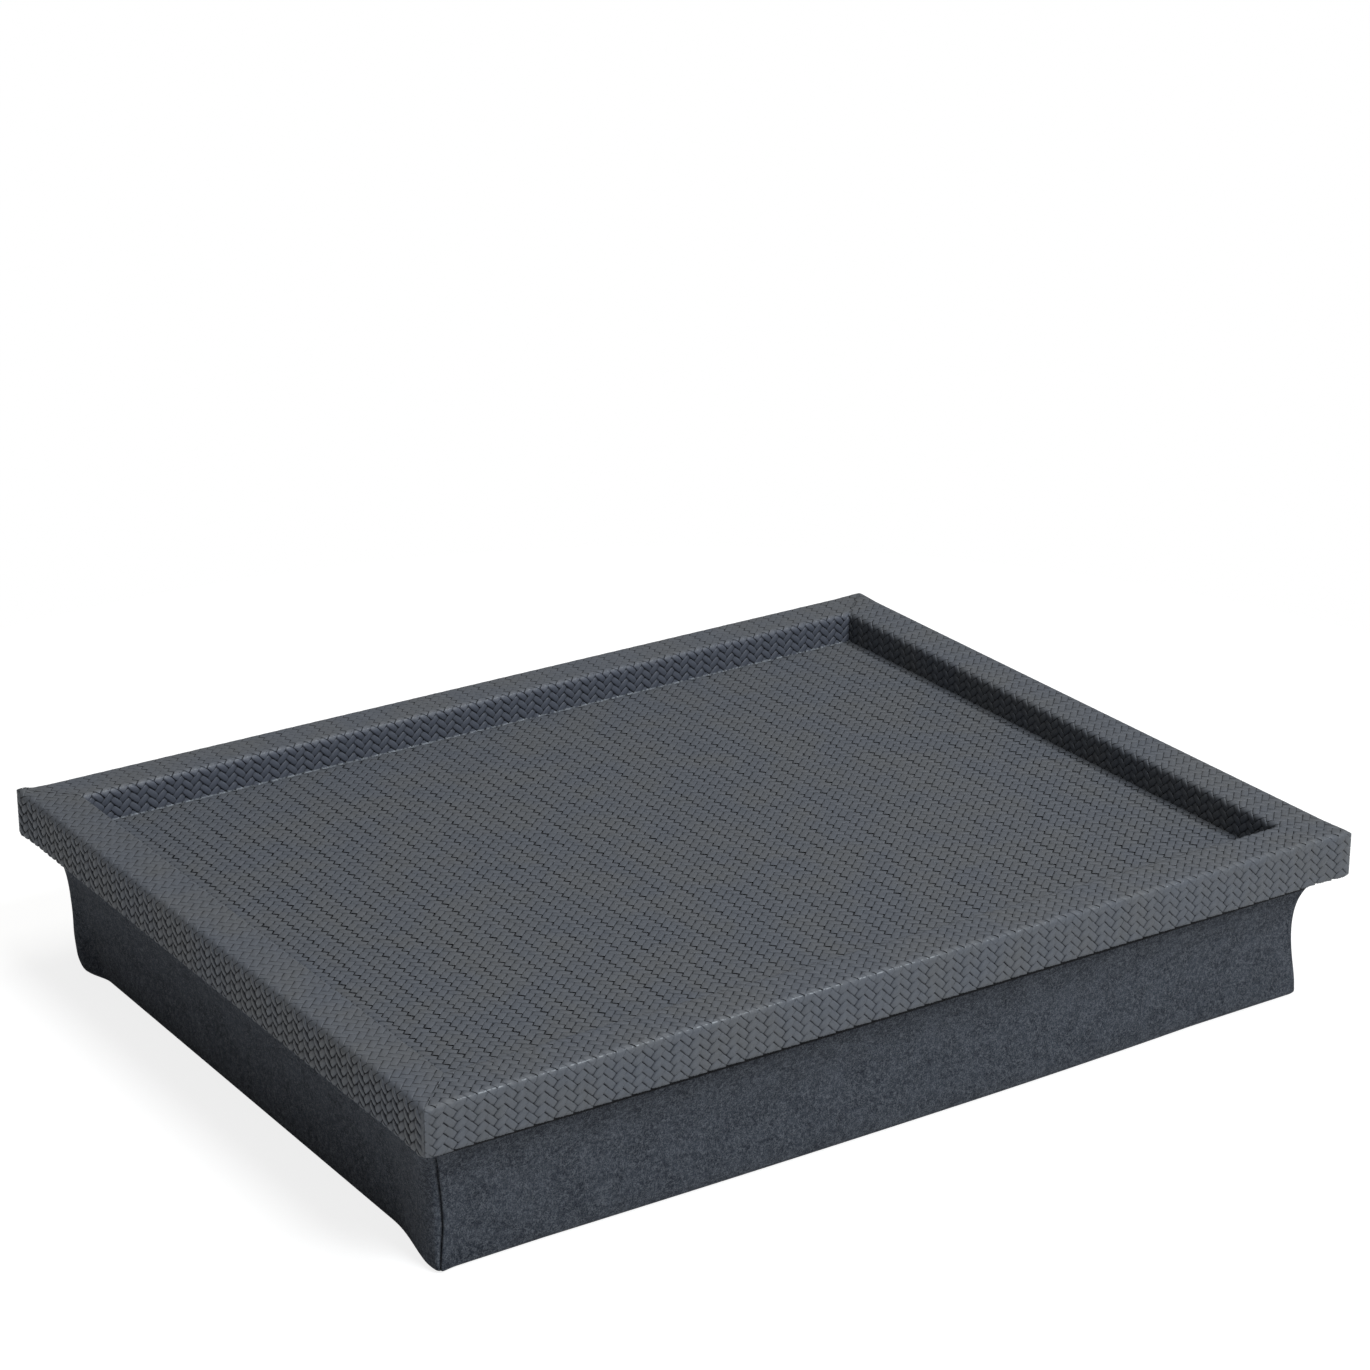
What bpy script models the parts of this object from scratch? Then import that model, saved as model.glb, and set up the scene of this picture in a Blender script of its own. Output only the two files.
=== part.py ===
"""Cushioned lap and bed tray: a leather-covered wooden tray on a suede cushion filled with beads.

Units are metres and +Z is up. The origin is on the surface that the cushion rests on, under the
middle of the tray. +X runs along the tray's long side and +Y to its back.
"""

import math

import bmesh
import bpy
from mathutils import Matrix, Vector

# Driving dimensions of the tray
TRAY_LENGTH = 0.460
TRAY_DEPTH = 0.359
RIM_WIDTH = 0.0215
WELL_DEPTH = 0.015
TRAY_BOARD_THICKNESS = 0.0037
LEATHER_THICKNESS = 0.001
RIM_CORNER_RADIUS = 0.0014
OUTER_EDGE_RADIUS = 0.0022
INNER_EDGE_RADIUS = 0.0018
UNDER_EDGE_RADIUS = 0.0016
LEATHER_TURN_UNDER = 0.0095
REBATE_WIDTH = 0.0065

# Driving dimensions of the cushion
CUSHION_HEIGHT = 0.059
CUSHION_BOARD_THICKNESS = 0.004
SUEDE_THICKNESS = 0.0012
LINER_THICKNESS = 0.0005
SUEDE_TURN_IN = 0.014
SUEDE_FOLD_RADIUS = 0.0022
TOP_INSET = 0.0092
WAIST_INSET = 0.0150
WAIST_BELOW_BOARD = 0.0150
BELLY_INSET = 0.0128
BOTTOM_FOLD_RADIUS = 0.0040
TOP_CORNER_RADIUS = 0.0040
BOTTOM_CORNER_RADIUS = 0.0060
SHORT_SIDE_DRAW_IN = 0.0050
LONG_SIDE_CROWN = 0.0026

# Fasteners
SCREW_HEAD_RADIUS = 0.0034
SCREW_HEAD_HEIGHT = 0.0020
SCREW_SHANK_RADIUS = 0.0016
SCREW_TIP_LENGTH = 0.0015
SCREW_TIP_RADIUS = 0.0006
SCREW_BITE = 0.0030
SCREW_RECESS_WIDTH = 0.0008
SCREW_RECESS_LENGTH = 0.0038
SCREW_RECESS_DEPTH = 0.0010
SCREW_EDGE_DISTANCE = 0.030
KEY_LENGTH = 0.0110
KEY_REACH = 0.0090
KEY_THICKNESS = 0.0024

# Clearance between pieces that touch
GAP = 0.0003

# Heights, from the cushion's resting face up
RIM_UNDERSIDE = CUSHION_HEIGHT
TRAY_BOARD_BOTTOM = RIM_UNDERSIDE
TRAY_BOARD_TOP = TRAY_BOARD_BOTTOM + TRAY_BOARD_THICKNESS
FLOOR_BOTTOM = TRAY_BOARD_TOP + GAP
FLOOR_TOP = FLOOR_BOTTOM + LEATHER_THICKNESS
RIM_TOP = FLOOR_TOP + WELL_DEPTH
CORE_BOTTOM = RIM_UNDERSIDE + LEATHER_THICKNESS + GAP
CORE_TOP = RIM_TOP - LEATHER_THICKNESS - GAP
HEM_TOP = RIM_UNDERSIDE - GAP
CUSHION_BOARD_TOP = HEM_TOP - SUEDE_THICKNESS - GAP
CUSHION_BOARD_BOTTOM = CUSHION_BOARD_TOP - CUSHION_BOARD_THICKNESS
BOTTOM_SEAM = BOTTOM_FOLD_RADIUS

# Distances in from the tray's outer faces
CORE_OUTER = LEATHER_THICKNESS + GAP
CORE_INNER = RIM_WIDTH - LEATHER_THICKNESS - GAP
REBATE_START = CORE_INNER - REBATE_WIDTH
TRAY_BOARD_INSET = REBATE_START + GAP
FLOOR_INSET = RIM_WIDTH + GAP
CUSHION_BOARD_INSET = TOP_INSET + SUEDE_THICKNESS + GAP

# Layers of the cushion, counted in from the outside of the suede
LINER_OFFSET = SUEDE_THICKNESS + GAP
FILL_OFFSET = LINER_OFFSET + LINER_THICKNESS + GAP

# Facets
ARC_STEPS = 3
CORNER_STEPS = 2
SIDE_STEPS = 8
FLARE_STEPS = 9
SCREW_STEPS = 16

SIDES = {
    "front": (Vector((1, 0, 0)), Vector((0, -1, 0))),
    "right": (Vector((0, 1, 0)), Vector((1, 0, 0))),
    "back": (Vector((-1, 0, 0)), Vector((0, 1, 0))),
    "left": (Vector((0, -1, 0)), Vector((-1, 0, 0))),
}
CORNERS = (("front_left", -1, -1), ("front_right", 1, -1), ("back_right", 1, 1), ("back_left", -1, 1))


def clear_scene():
    """Remove what a new Blender file holds."""
    for item in list(bpy.data.objects):
        bpy.data.objects.remove(item, do_unlink=True)


def new_collection(name):
    """Return a new collection linked to the scene."""
    collection = bpy.data.collections.new(name)
    bpy.context.scene.collection.children.link(collection)
    return collection


def new_material(name, colour, roughness, metallic=0.0):
    """Return a Principled material of one colour."""
    material = bpy.data.materials.new(name)
    material.use_nodes = True
    shader = material.node_tree.nodes["Principled BSDF"]
    shader.inputs["Base Color"].default_value = (*colour, 1.0)
    shader.inputs["Roughness"].default_value = roughness
    shader.inputs["Metallic"].default_value = metallic
    material.diffuse_color = (*colour, 1.0)
    return material


def add_object(name, mesh, collection, material):
    """Link a mesh as a named object with its own material."""
    item = bpy.data.objects.new(name, mesh)
    collection.objects.link(item)
    mesh.materials.clear()
    mesh.materials.append(material)
    return item


def mesh_from(name, bm):
    """Merge doubled points, turn the faces outwards and return the mesh."""
    bmesh.ops.remove_doubles(bm, verts=bm.verts[:], dist=1e-6)
    bmesh.ops.recalc_face_normals(bm, faces=bm.faces[:])
    if bm.calc_volume(signed=True) < 0:
        bmesh.ops.reverse_faces(bm, faces=bm.faces[:])
    mesh = bpy.data.meshes.new(name)
    bm.to_mesh(mesh)
    bm.free()
    mesh.shade_smooth()
    mesh.set_sharp_from_angle(angle=math.radians(35))
    return mesh


def make_cutter(item, cutters):
    """Keep an object as a cutter that neither shows nor renders."""
    for collection in list(item.users_collection):
        collection.objects.unlink(item)
    cutters.objects.link(item)
    item.hide_render = True
    item.display_type = "WIRE"
    return item


def cut(item, cutter):
    """Cut one object with another."""
    modifier = item.modifiers.new("cut_" + cutter.name, "BOOLEAN")
    modifier.operation = "DIFFERENCE"
    modifier.solver = "EXACT"
    modifier.object = cutter


def round_edges(item, radius):
    """Round an object's sharp edges."""
    modifier = item.modifiers.new("round", "BEVEL")
    modifier.width = radius
    modifier.segments = 2
    modifier.limit_method = "ANGLE"
    modifier.angle_limit = math.radians(60)


def arc(inset, height, radius, start, end, steps=ARC_STEPS):
    """Return (inset, height) points round a centre, with angles in degrees from outwards to up."""
    points = []
    for step in range(steps + 1):
        angle = math.radians(start + (end - start) * step / steps)
        points.append((inset - radius * math.cos(angle), height + radius * math.sin(angle)))
    return points


def half_sizes(side):
    """Return half the length along a side and half the depth across it."""
    if side in ("front", "back"):
        return TRAY_LENGTH / 2, TRAY_DEPTH / 2
    return TRAY_DEPTH / 2, TRAY_LENGTH / 2


def side_line(side, row, mitre_gap):
    """Return the points along one side at a row's inset and height, from mitre to mitre.

    A row is (inset, height, corner radius, draw-in at the middle of the side).
    """
    inset, height, radius, draw_in = row
    along, outwards = SIDES[side]
    half_length, half_depth = half_sizes(side)
    straight = half_length - inset - radius
    face = half_depth - inset
    mitre = straight + radius * math.sin(math.radians(45))
    shrink = 1 - mitre_gap / 2 * math.sqrt(2) / mitre
    places = []
    for step in range(CORNER_STEPS):
        angle = math.radians(45 * (1 - step / CORNER_STEPS))
        places.append((-straight - radius * math.sin(angle), face - radius * (1 - math.cos(angle))))
    for step in range(SIDE_STEPS + 1):
        share = 2 * step / SIDE_STEPS - 1
        bow = draw_in * (1 + math.cos(math.pi * share)) / 2
        places.append((straight * share, face - bow))
    for x, y in reversed(places[:CORNER_STEPS]):
        places.append((-x, y))
    places = [(x * shrink, y) for x, y in places]
    return [along * x + outwards * y + Vector((0, 0, height)) for x, y in places]


def ring_line(row):
    """Return the points of a closed ring round all four sides at a row's inset and height."""
    points = []
    for side in SIDES:
        points.extend(side_line(side, row_for(side, row), 0.0)[:-1])
    return points


def row_for(side, row):
    """Return a row with the draw-in of the side's own kind."""
    inset, height, radius, bow_share = row
    bow = -LONG_SIDE_CROWN if side in ("front", "back") else SHORT_SIDE_DRAW_IN
    return inset, height, radius, bow * bow_share


def loft_side(name, side, rows, collection, material):
    """Sweep a closed section along one side, mitred at both ends."""
    bm = bmesh.new()
    lines = [[bm.verts.new(point) for point in side_line(side, row, GAP)] for row in rows]
    for index, line in enumerate(lines):
        other = lines[(index + 1) % len(lines)]
        for step in range(len(line) - 1):
            bm.faces.new((line[step], line[step + 1], other[step + 1], other[step]))
    bm.faces.new([line[0] for line in lines])
    bm.faces.new([line[-1] for line in reversed(lines)])
    return add_object(name, mesh_from(name, bm), collection, material)


def loft_rings(name, rows, collection, material):
    """Join closed rings in order, with a flat face over the first and the last."""
    bm = bmesh.new()
    rings = [[bm.verts.new(point) for point in ring_line(row)] for row in rows]
    for ring, other in zip(rings, rings[1:]):
        for step, vertex in enumerate(ring):
            after = (step + 1) % len(ring)
            bm.faces.new((vertex, ring[after], other[after], other[step]))
    bm.faces.new(rings[0])
    bm.faces.new(list(reversed(rings[-1])))
    return add_object(name, mesh_from(name, bm), collection, material)


def panel(name, inset, bottom, thickness, corner_radius, collection, material):
    """Return a flat rectangular panel from a filled curve, with rounded corners in plan."""
    half_x = TRAY_LENGTH / 2 - inset
    half_y = TRAY_DEPTH / 2 - inset
    curve = bpy.data.curves.new(name, "CURVE")
    curve.dimensions = "2D"
    curve.fill_mode = "BOTH"
    curve.extrude = thickness / 2
    points = []
    for (_, sign_x, sign_y), start in zip(CORNERS, (180, 270, 0, 90)):
        for step in range(ARC_STEPS + 1):
            angle = math.radians(start + 90 * step / ARC_STEPS)
            points.append((sign_x * (half_x - corner_radius) + corner_radius * math.cos(angle),
                           sign_y * (half_y - corner_radius) + corner_radius * math.sin(angle)))
    spline = curve.splines.new("POLY")
    spline.points.add(len(points) - 1)
    for point, (x, y) in zip(spline.points, points):
        point.co = (x, y, 0, 1)
    spline.use_cyclic_u = True
    holder = bpy.data.objects.new(name + "_outline", curve)
    collection.objects.link(holder)
    holder.location.z = bottom + thickness / 2
    bpy.context.view_layer.update()
    evaluated = holder.evaluated_get(bpy.context.evaluated_depsgraph_get())
    mesh = bpy.data.meshes.new_from_object(evaluated)
    bm = bmesh.new()
    bm.from_mesh(mesh)
    bmesh.ops.transform(bm, matrix=holder.matrix_world, verts=bm.verts[:])
    bpy.data.objects.remove(holder, do_unlink=True)
    bpy.data.meshes.remove(mesh)
    return add_object(name, mesh_from(name, bm), collection, material)


def rim_radius(inset):
    """Return the rim's rounding in plan at a distance in from its outer face."""
    return max(RIM_CORNER_RADIUS - inset, 0.0)


def rail_leather_section():
    """Return the section of a rail's leather: under the rim, up the face, over and down inside."""
    def path(offset):
        points = [(LEATHER_TURN_UNDER, RIM_UNDERSIDE + offset)]
        under = UNDER_EDGE_RADIUS
        points += arc(under, RIM_UNDERSIDE + under, under - offset, -90, 0)
        outer = OUTER_EDGE_RADIUS
        points += arc(outer, RIM_TOP - outer, outer - offset, 0, 90)
        inner = INNER_EDGE_RADIUS
        points += arc(RIM_WIDTH - inner, RIM_TOP - inner, inner - offset, 90, 180)
        points.append((RIM_WIDTH - offset, FLOOR_BOTTOM))
        return points

    section = path(0.0) + list(reversed(path(LEATHER_THICKNESS)))
    return [(inset, height, rim_radius(inset), 0.0) for inset, height in section]


def rail_core_section():
    """Return the section of a rail's wood, with the rebate that the tray board sits in."""
    offset = LEATHER_THICKNESS + GAP
    least = GAP / 2
    outer = max(OUTER_EDGE_RADIUS - offset, least)
    inner = max(INNER_EDGE_RADIUS - offset, least)
    under = max(UNDER_EDGE_RADIUS - offset, least)
    section = arc(CORE_OUTER + under, CORE_BOTTOM + under, under, -90, 0)
    section += arc(CORE_OUTER + outer, CORE_TOP - outer, outer, 0, 90)
    section += arc(CORE_INNER - inner, CORE_TOP - inner, inner, 90, 180)
    section += [(CORE_INNER, FLOOR_BOTTOM), (REBATE_START, FLOOR_BOTTOM), (REBATE_START, CORE_BOTTOM)]
    return [(inset, height, rim_radius(inset), 0.0) for inset, height in section]


def key_box(name, corner, clearance, collection, material):
    """Return a flat key, or its slot, across the mitre of one corner."""
    _, sign_x, sign_y = corner
    middle = (CORE_OUTER + CORE_INNER) / 2
    height = (FLOOR_BOTTOM + CORE_TOP) / 2
    bm = bmesh.new()
    bmesh.ops.create_cube(bm, size=1.0)
    size = (KEY_LENGTH + 2 * clearance, KEY_REACH + 2 * clearance, KEY_THICKNESS + 2 * clearance)
    bmesh.ops.scale(bm, vec=size, verts=bm.verts[:])
    turn = Matrix.Rotation(math.atan2(sign_y, sign_x), 4, "Z")
    place = Vector((sign_x * (TRAY_LENGTH / 2 - middle), sign_y * (TRAY_DEPTH / 2 - middle), height))
    bmesh.ops.transform(bm, matrix=Matrix.Translation(place) @ turn, verts=bm.verts[:])
    return add_object(name, mesh_from(name, bm), collection, material)


def rails(collection, cutters, wood, leather):
    """Make the four mitred rails, their leathers and the keys in the mitres."""
    cores = {}
    for side in SIDES:
        cores[side] = loft_side(side + "_rail", side, rail_core_section(), collection, wood)
        loft_side(side + "_rail_leather", side, rail_leather_section(), collection, leather)
    for corner in CORNERS:
        key_box(corner[0] + "_mitre_key", corner, 0.0, collection, wood)
        slot = make_cutter(key_box(corner[0] + "_slot", corner, GAP, collection, wood), cutters)
        for side in corner[0].split("_"):
            cut(cores[side], slot)


def screw_places():
    """Return where the screws stand: four along each long side."""
    reach_x = TRAY_LENGTH / 2 - CUSHION_BOARD_INSET - SCREW_EDGE_DISTANCE
    reach_y = TRAY_DEPTH / 2 - CUSHION_BOARD_INSET - SCREW_EDGE_DISTANCE
    places = []
    for sign_y in (-1, 1):
        for share in (-1, -1 / 3, 1 / 3, 1):
            places.append((share * reach_x, sign_y * reach_y))
    return places


def screw_profile(clearance, overrun):
    """Return a countersunk screw's half section, from the head's middle down to the tip."""
    head_top = TRAY_BOARD_TOP - GAP + overrun
    cone_top = TRAY_BOARD_TOP - GAP
    head = SCREW_HEAD_RADIUS + clearance
    shank = SCREW_SHANK_RADIUS + clearance
    tip = CUSHION_BOARD_TOP - SCREW_BITE - overrun
    points = [(0.0, head_top), (head, head_top)]
    if overrun:
        points.append((head, cone_top))
    points.append((shank, cone_top - SCREW_HEAD_HEIGHT - clearance))
    if overrun:
        points += [(shank, tip), (0.0, tip)]
    else:
        points += [(shank, tip + SCREW_TIP_LENGTH), (SCREW_TIP_RADIUS, tip), (0.0, tip)]
    return points


def turned(name, profile, place, collection, material):
    """Turn a half section about a vertical axis with a Screw modifier."""
    mesh = bpy.data.meshes.new(name)
    edges = [(index, index + 1) for index in range(len(profile) - 1)]
    mesh.from_pydata([(radius, 0.0, height) for radius, height in profile], edges, [])
    item = add_object(name, mesh, collection, material)
    item.location = (*place, 0.0)
    screw = item.modifiers.new("turn", "SCREW")
    screw.steps = SCREW_STEPS
    screw.render_steps = SCREW_STEPS
    screw.use_merge_vertices = True
    screw.merge_threshold = 0.00001
    return item


def recess_slot(name, place, size, collection, material):
    """Return one slot of a screw's crossed recess as a cutter."""
    bm = bmesh.new()
    bmesh.ops.create_cube(bm, size=1.0)
    bmesh.ops.scale(bm, vec=(*size, 2 * SCREW_RECESS_DEPTH), verts=bm.verts[:])
    bmesh.ops.translate(bm, vec=(*place, TRAY_BOARD_TOP - GAP), verts=bm.verts[:])
    return add_object(name, mesh_from(name, bm), collection, material)


def boards_and_screws(collection, cutters, wood, steel):
    """Make the tray board, the cushion board and the screws that hold them together."""
    tray_board = panel("tray_board", TRAY_BOARD_INSET, TRAY_BOARD_BOTTOM, TRAY_BOARD_THICKNESS,
                       GAP, collection, wood)
    cushion_board = panel("cushion_board", CUSHION_BOARD_INSET, CUSHION_BOARD_BOTTOM,
                          CUSHION_BOARD_THICKNESS, TOP_CORNER_RADIUS - SUEDE_THICKNESS - GAP,
                          collection, wood)
    round_edges(cushion_board, SUEDE_FOLD_RADIUS - SUEDE_THICKNESS - GAP)
    for number, place in enumerate(screw_places(), start=1):
        hole = turned("hole_%d" % number, screw_profile(GAP, CUSHION_BOARD_THICKNESS), place,
                      collection, steel)
        make_cutter(hole, cutters)
        cut(tray_board, hole)
        cut(cushion_board, hole)
        screw = turned("board_screw_%d" % number, screw_profile(0.0, 0.0), place, collection, steel)
        for way, size in (("x", (SCREW_RECESS_LENGTH, SCREW_RECESS_WIDTH)),
                          ("y", (SCREW_RECESS_WIDTH, SCREW_RECESS_LENGTH))):
            slot = recess_slot("recess_%d_%s" % (number, way), place, size, collection, steel)
            cut(screw, make_cutter(slot, cutters))


def ease(share):
    """Return a value that goes from 0 to 1 with no slope at either end."""
    share = min(max(share, 0.0), 1.0)
    return (1 - math.cos(math.pi * share)) / 2


def cover_inset(height):
    """Return how far in the suede lies at a height between the board and the bottom fold."""
    drop = CUSHION_BOARD_BOTTOM - height
    if drop <= WAIST_BELOW_BOARD:
        share = max(drop, 0.0) / WAIST_BELOW_BOARD
        return TOP_INSET + (WAIST_INSET - TOP_INSET) * math.sin(math.pi / 2 * share)
    span = CUSHION_BOARD_BOTTOM - WAIST_BELOW_BOARD - BOTTOM_SEAM
    return WAIST_INSET + (BELLY_INSET - WAIST_INSET) * ease((drop - WAIST_BELOW_BOARD) / span)


def cover_row(height, offset):
    """Return the row of a layer of the cushion at a height, offset inwards from the suede."""
    share = (CUSHION_BOARD_BOTTOM - height) / (CUSHION_BOARD_BOTTOM - BOTTOM_SEAM)
    radius = TOP_CORNER_RADIUS + (BOTTOM_CORNER_RADIUS - TOP_CORNER_RADIUS) * ease(share)
    return cover_inset(height) + offset, height, radius - offset, ease(share)


def flare_heights():
    """Return the heights of the rows, closer together where the suede draws in under the board."""
    span = CUSHION_BOARD_BOTTOM - BOTTOM_SEAM
    return [CUSHION_BOARD_BOTTOM - span * (step / FLARE_STEPS) ** 1.3 for step in range(FLARE_STEPS + 1)]


def bottom_rows(offset):
    """Return the rows of the fold from the bottom seam in to the flat resting face."""
    radius = BOTTOM_FOLD_RADIUS
    centre = BELLY_INSET + radius
    rows = []
    for inset, height in arc(centre, BOTTOM_SEAM, radius - offset, 0, -90):
        plan = max(BOTTOM_CORNER_RADIUS - (inset - BELLY_INSET), GAP)
        rows.append((inset, height, plan, 1.0))
    return rows


def hem_rows(offset):
    """Return the rows of the suede's turned-in hem, from its edge to the side of the board."""
    radius = SUEDE_FOLD_RADIUS
    centre = TOP_INSET + radius
    points = [(TOP_INSET + SUEDE_TURN_IN, HEM_TOP - offset)]
    points += arc(centre, HEM_TOP - radius, radius - offset, 90, 0)
    plan = TOP_CORNER_RADIUS - offset
    return [(inset, height, plan, 0.0) for inset, height in points]


def suede_cover(collection, suede):
    """Make the four side panels of the cover and its bottom panel."""
    outer = hem_rows(0.0) + [cover_row(height, 0.0) for height in flare_heights()]
    inner = hem_rows(SUEDE_THICKNESS) + [cover_row(height, SUEDE_THICKNESS) for height in flare_heights()]
    section = outer + list(reversed(inner))
    for side in SIDES:
        rows = [row_for(side, row) for row in section]
        loft_side(side + "_suede_panel", side, rows, collection, suede)
    fold = [(inset, height - GAP if step == 0 else height, plan, bow)
            for step, (inset, height, plan, bow) in enumerate(bottom_rows(0.0))]
    lining = [(inset, height - GAP if step == 0 else height, plan, bow)
              for step, (inset, height, plan, bow) in enumerate(bottom_rows(SUEDE_THICKNESS))]
    loft_rings("bottom_suede_panel", list(reversed(fold)) + lining, collection, suede)


def inner_bag(collection, cotton, beads):
    """Make the cotton bag, in a tub and a lid, and the bead filling inside it."""
    lid_top = CUSHION_BOARD_BOTTOM - GAP
    lid_bottom = lid_top - LINER_THICKNESS
    fill_top = lid_bottom - GAP
    heights = flare_heights()[1:]

    def layer(offset, top):
        rows = [cover_row(top, offset)]
        rows += [cover_row(height, offset) for height in heights]
        return rows + bottom_rows(offset)[1:]

    outside = layer(LINER_OFFSET, lid_top)
    inside = layer(LINER_OFFSET + LINER_THICKNESS, lid_top)
    loft_rings("liner_tub", list(reversed(outside)) + inside, collection, cotton)
    loft_rings("liner_lid", [cover_row(lid_bottom, FILL_OFFSET), cover_row(lid_top, FILL_OFFSET)],
               collection, cotton)
    loft_rings("bead_filling", list(reversed(layer(FILL_OFFSET, fill_top))), collection, beads)


def build():
    """Build the whole tray."""
    clear_scene()
    parts = new_collection("bed_tray")
    cutters = new_collection("cutters")
    leather = new_material("woven_leather", (0.095, 0.105, 0.125), 0.55)
    suede = new_material("suede", (0.048, 0.056, 0.070), 0.95)
    wood = new_material("plywood", (0.55, 0.40, 0.24), 0.70)
    cotton = new_material("cotton", (0.70, 0.68, 0.62), 0.90)
    beads = new_material("foam_beads", (0.85, 0.85, 0.83), 0.80)
    steel = new_material("zinc_steel", (0.60, 0.60, 0.58), 0.35, 1.0)
    rails(parts, cutters, wood, leather)
    boards_and_screws(parts, cutters, wood, steel)
    panel("floor_leather", FLOOR_INSET, FLOOR_BOTTOM, LEATHER_THICKNESS, GAP, parts, leather)
    suede_cover(parts, suede)
    inner_bag(parts, cotton, beads)


build()
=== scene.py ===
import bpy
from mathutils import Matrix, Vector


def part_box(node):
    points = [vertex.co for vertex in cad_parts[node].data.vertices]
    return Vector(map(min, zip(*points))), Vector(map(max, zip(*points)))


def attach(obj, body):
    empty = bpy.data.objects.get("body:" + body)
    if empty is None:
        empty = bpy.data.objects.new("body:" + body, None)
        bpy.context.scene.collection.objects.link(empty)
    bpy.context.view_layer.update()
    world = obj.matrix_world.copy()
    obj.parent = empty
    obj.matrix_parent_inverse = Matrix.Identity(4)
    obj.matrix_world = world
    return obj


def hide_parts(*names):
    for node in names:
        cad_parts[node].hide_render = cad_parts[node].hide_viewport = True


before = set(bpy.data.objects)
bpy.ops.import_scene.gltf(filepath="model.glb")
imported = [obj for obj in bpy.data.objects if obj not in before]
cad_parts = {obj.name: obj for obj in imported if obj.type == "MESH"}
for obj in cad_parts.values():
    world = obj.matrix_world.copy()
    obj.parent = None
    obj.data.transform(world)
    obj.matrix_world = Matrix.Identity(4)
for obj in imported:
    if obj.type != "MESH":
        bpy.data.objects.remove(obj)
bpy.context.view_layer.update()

"""The looks of a cushioned bed tray: woven leather over a wooden rim, on a bead-filled suede cushion."""

import logging
import math
from dataclasses import dataclass, field
from enum import Enum
from typing import Any, Callable, Iterable, Sequence

import bmesh
import bpy
import numpy as np
from mathutils import Vector

LOG = logging.getLogger("bed_tray")
BODY = "root"
PHOTO_PIXELS = 1370
SENSOR_WIDTH = 36.0
LEATHER_CREASE, SUEDE_CREASE = 50.0, 55.0
SEED = 7
TINY = 1e-9
WAYS = (-1.0, 1.0)

Triple = tuple[float, float, float]
Colour = Triple
Pair = tuple[float, float]
Piece = bpy.types.Object
Material = bpy.types.Material
Rows = np.ndarray
Profile = Callable[[Rows], Rows]
Laid = tuple[Rows, Rows, Rows]


class Side(Enum):
    """The four sides of the tray, with the way along each and the way out of it, seen from above."""

    FRONT = ((1.0, 0.0), (0.0, -1.0))
    RIGHT = ((0.0, 1.0), (1.0, 0.0))
    BACK = ((-1.0, 0.0), (0.0, 1.0))
    LEFT = ((0.0, -1.0), (-1.0, 0.0))

    @property
    def label(self) -> str:
        """The side's name in node names."""
        return self.name.lower()

    @property
    def along(self) -> Rows:
        """The way along the side."""
        return np.array(self.value[0])

    @property
    def outwards(self) -> Rows:
        """The way out of the side."""
        return np.array(self.value[1])


def assign(target: Any, **values: Any) -> None:
    """Set several attributes of one thing."""
    for name, value in values.items():
        setattr(target, name, value)


def maths(operation: str, swapped: bool = False) -> Callable[..., "Shade"]:
    """Make a method of Shade that adds a Math node.

    Args:
        operation: The node's operation.
        swapped: Whether the other value comes first.

    Returns:
        The method.
    """

    def method(shade: "Shade", *others: "Shade | float") -> "Shade":
        """Add the node and return its result."""
        values = (*others, shade) if swapped else (shade, *others)
        return shade.board.node("ShaderNodeMath", dict(enumerate(values)), operation=operation)

    return method


class Shade:
    """One output socket of a shader node, with arithmetic that adds Math nodes."""

    def __init__(self, board: "ShaderBoard", socket: bpy.types.NodeSocket | None) -> None:
        """Keep the board that the node is on and its output socket."""
        self.board, self.socket = board, socket

    __add__, __radd__ = maths("ADD"), maths("ADD", swapped=True)
    __sub__, __rsub__ = maths("SUBTRACT"), maths("SUBTRACT", swapped=True)
    __mul__, __truediv__ = maths("MULTIPLY"), maths("DIVIDE")
    higher_of, lower_of = maths("MAXIMUM"), maths("MINIMUM")
    absolute, root = maths("ABSOLUTE"), maths("SQRT")

    def ramp(self, low: float, high: float) -> "Shade":
        """Rise smoothly.

        Args:
            low: The value that gives 0.
            high: The value that gives 1, which may be the smaller one.

        Returns:
            The share.
        """
        if low > high:
            return 1.0 - self.ramp(high, low)
        inputs = {"Value": self, "From Min": low, "From Max": high}
        return self.board.node("ShaderNodeMapRange", inputs, interpolation_type="SMOOTHSTEP")


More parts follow.
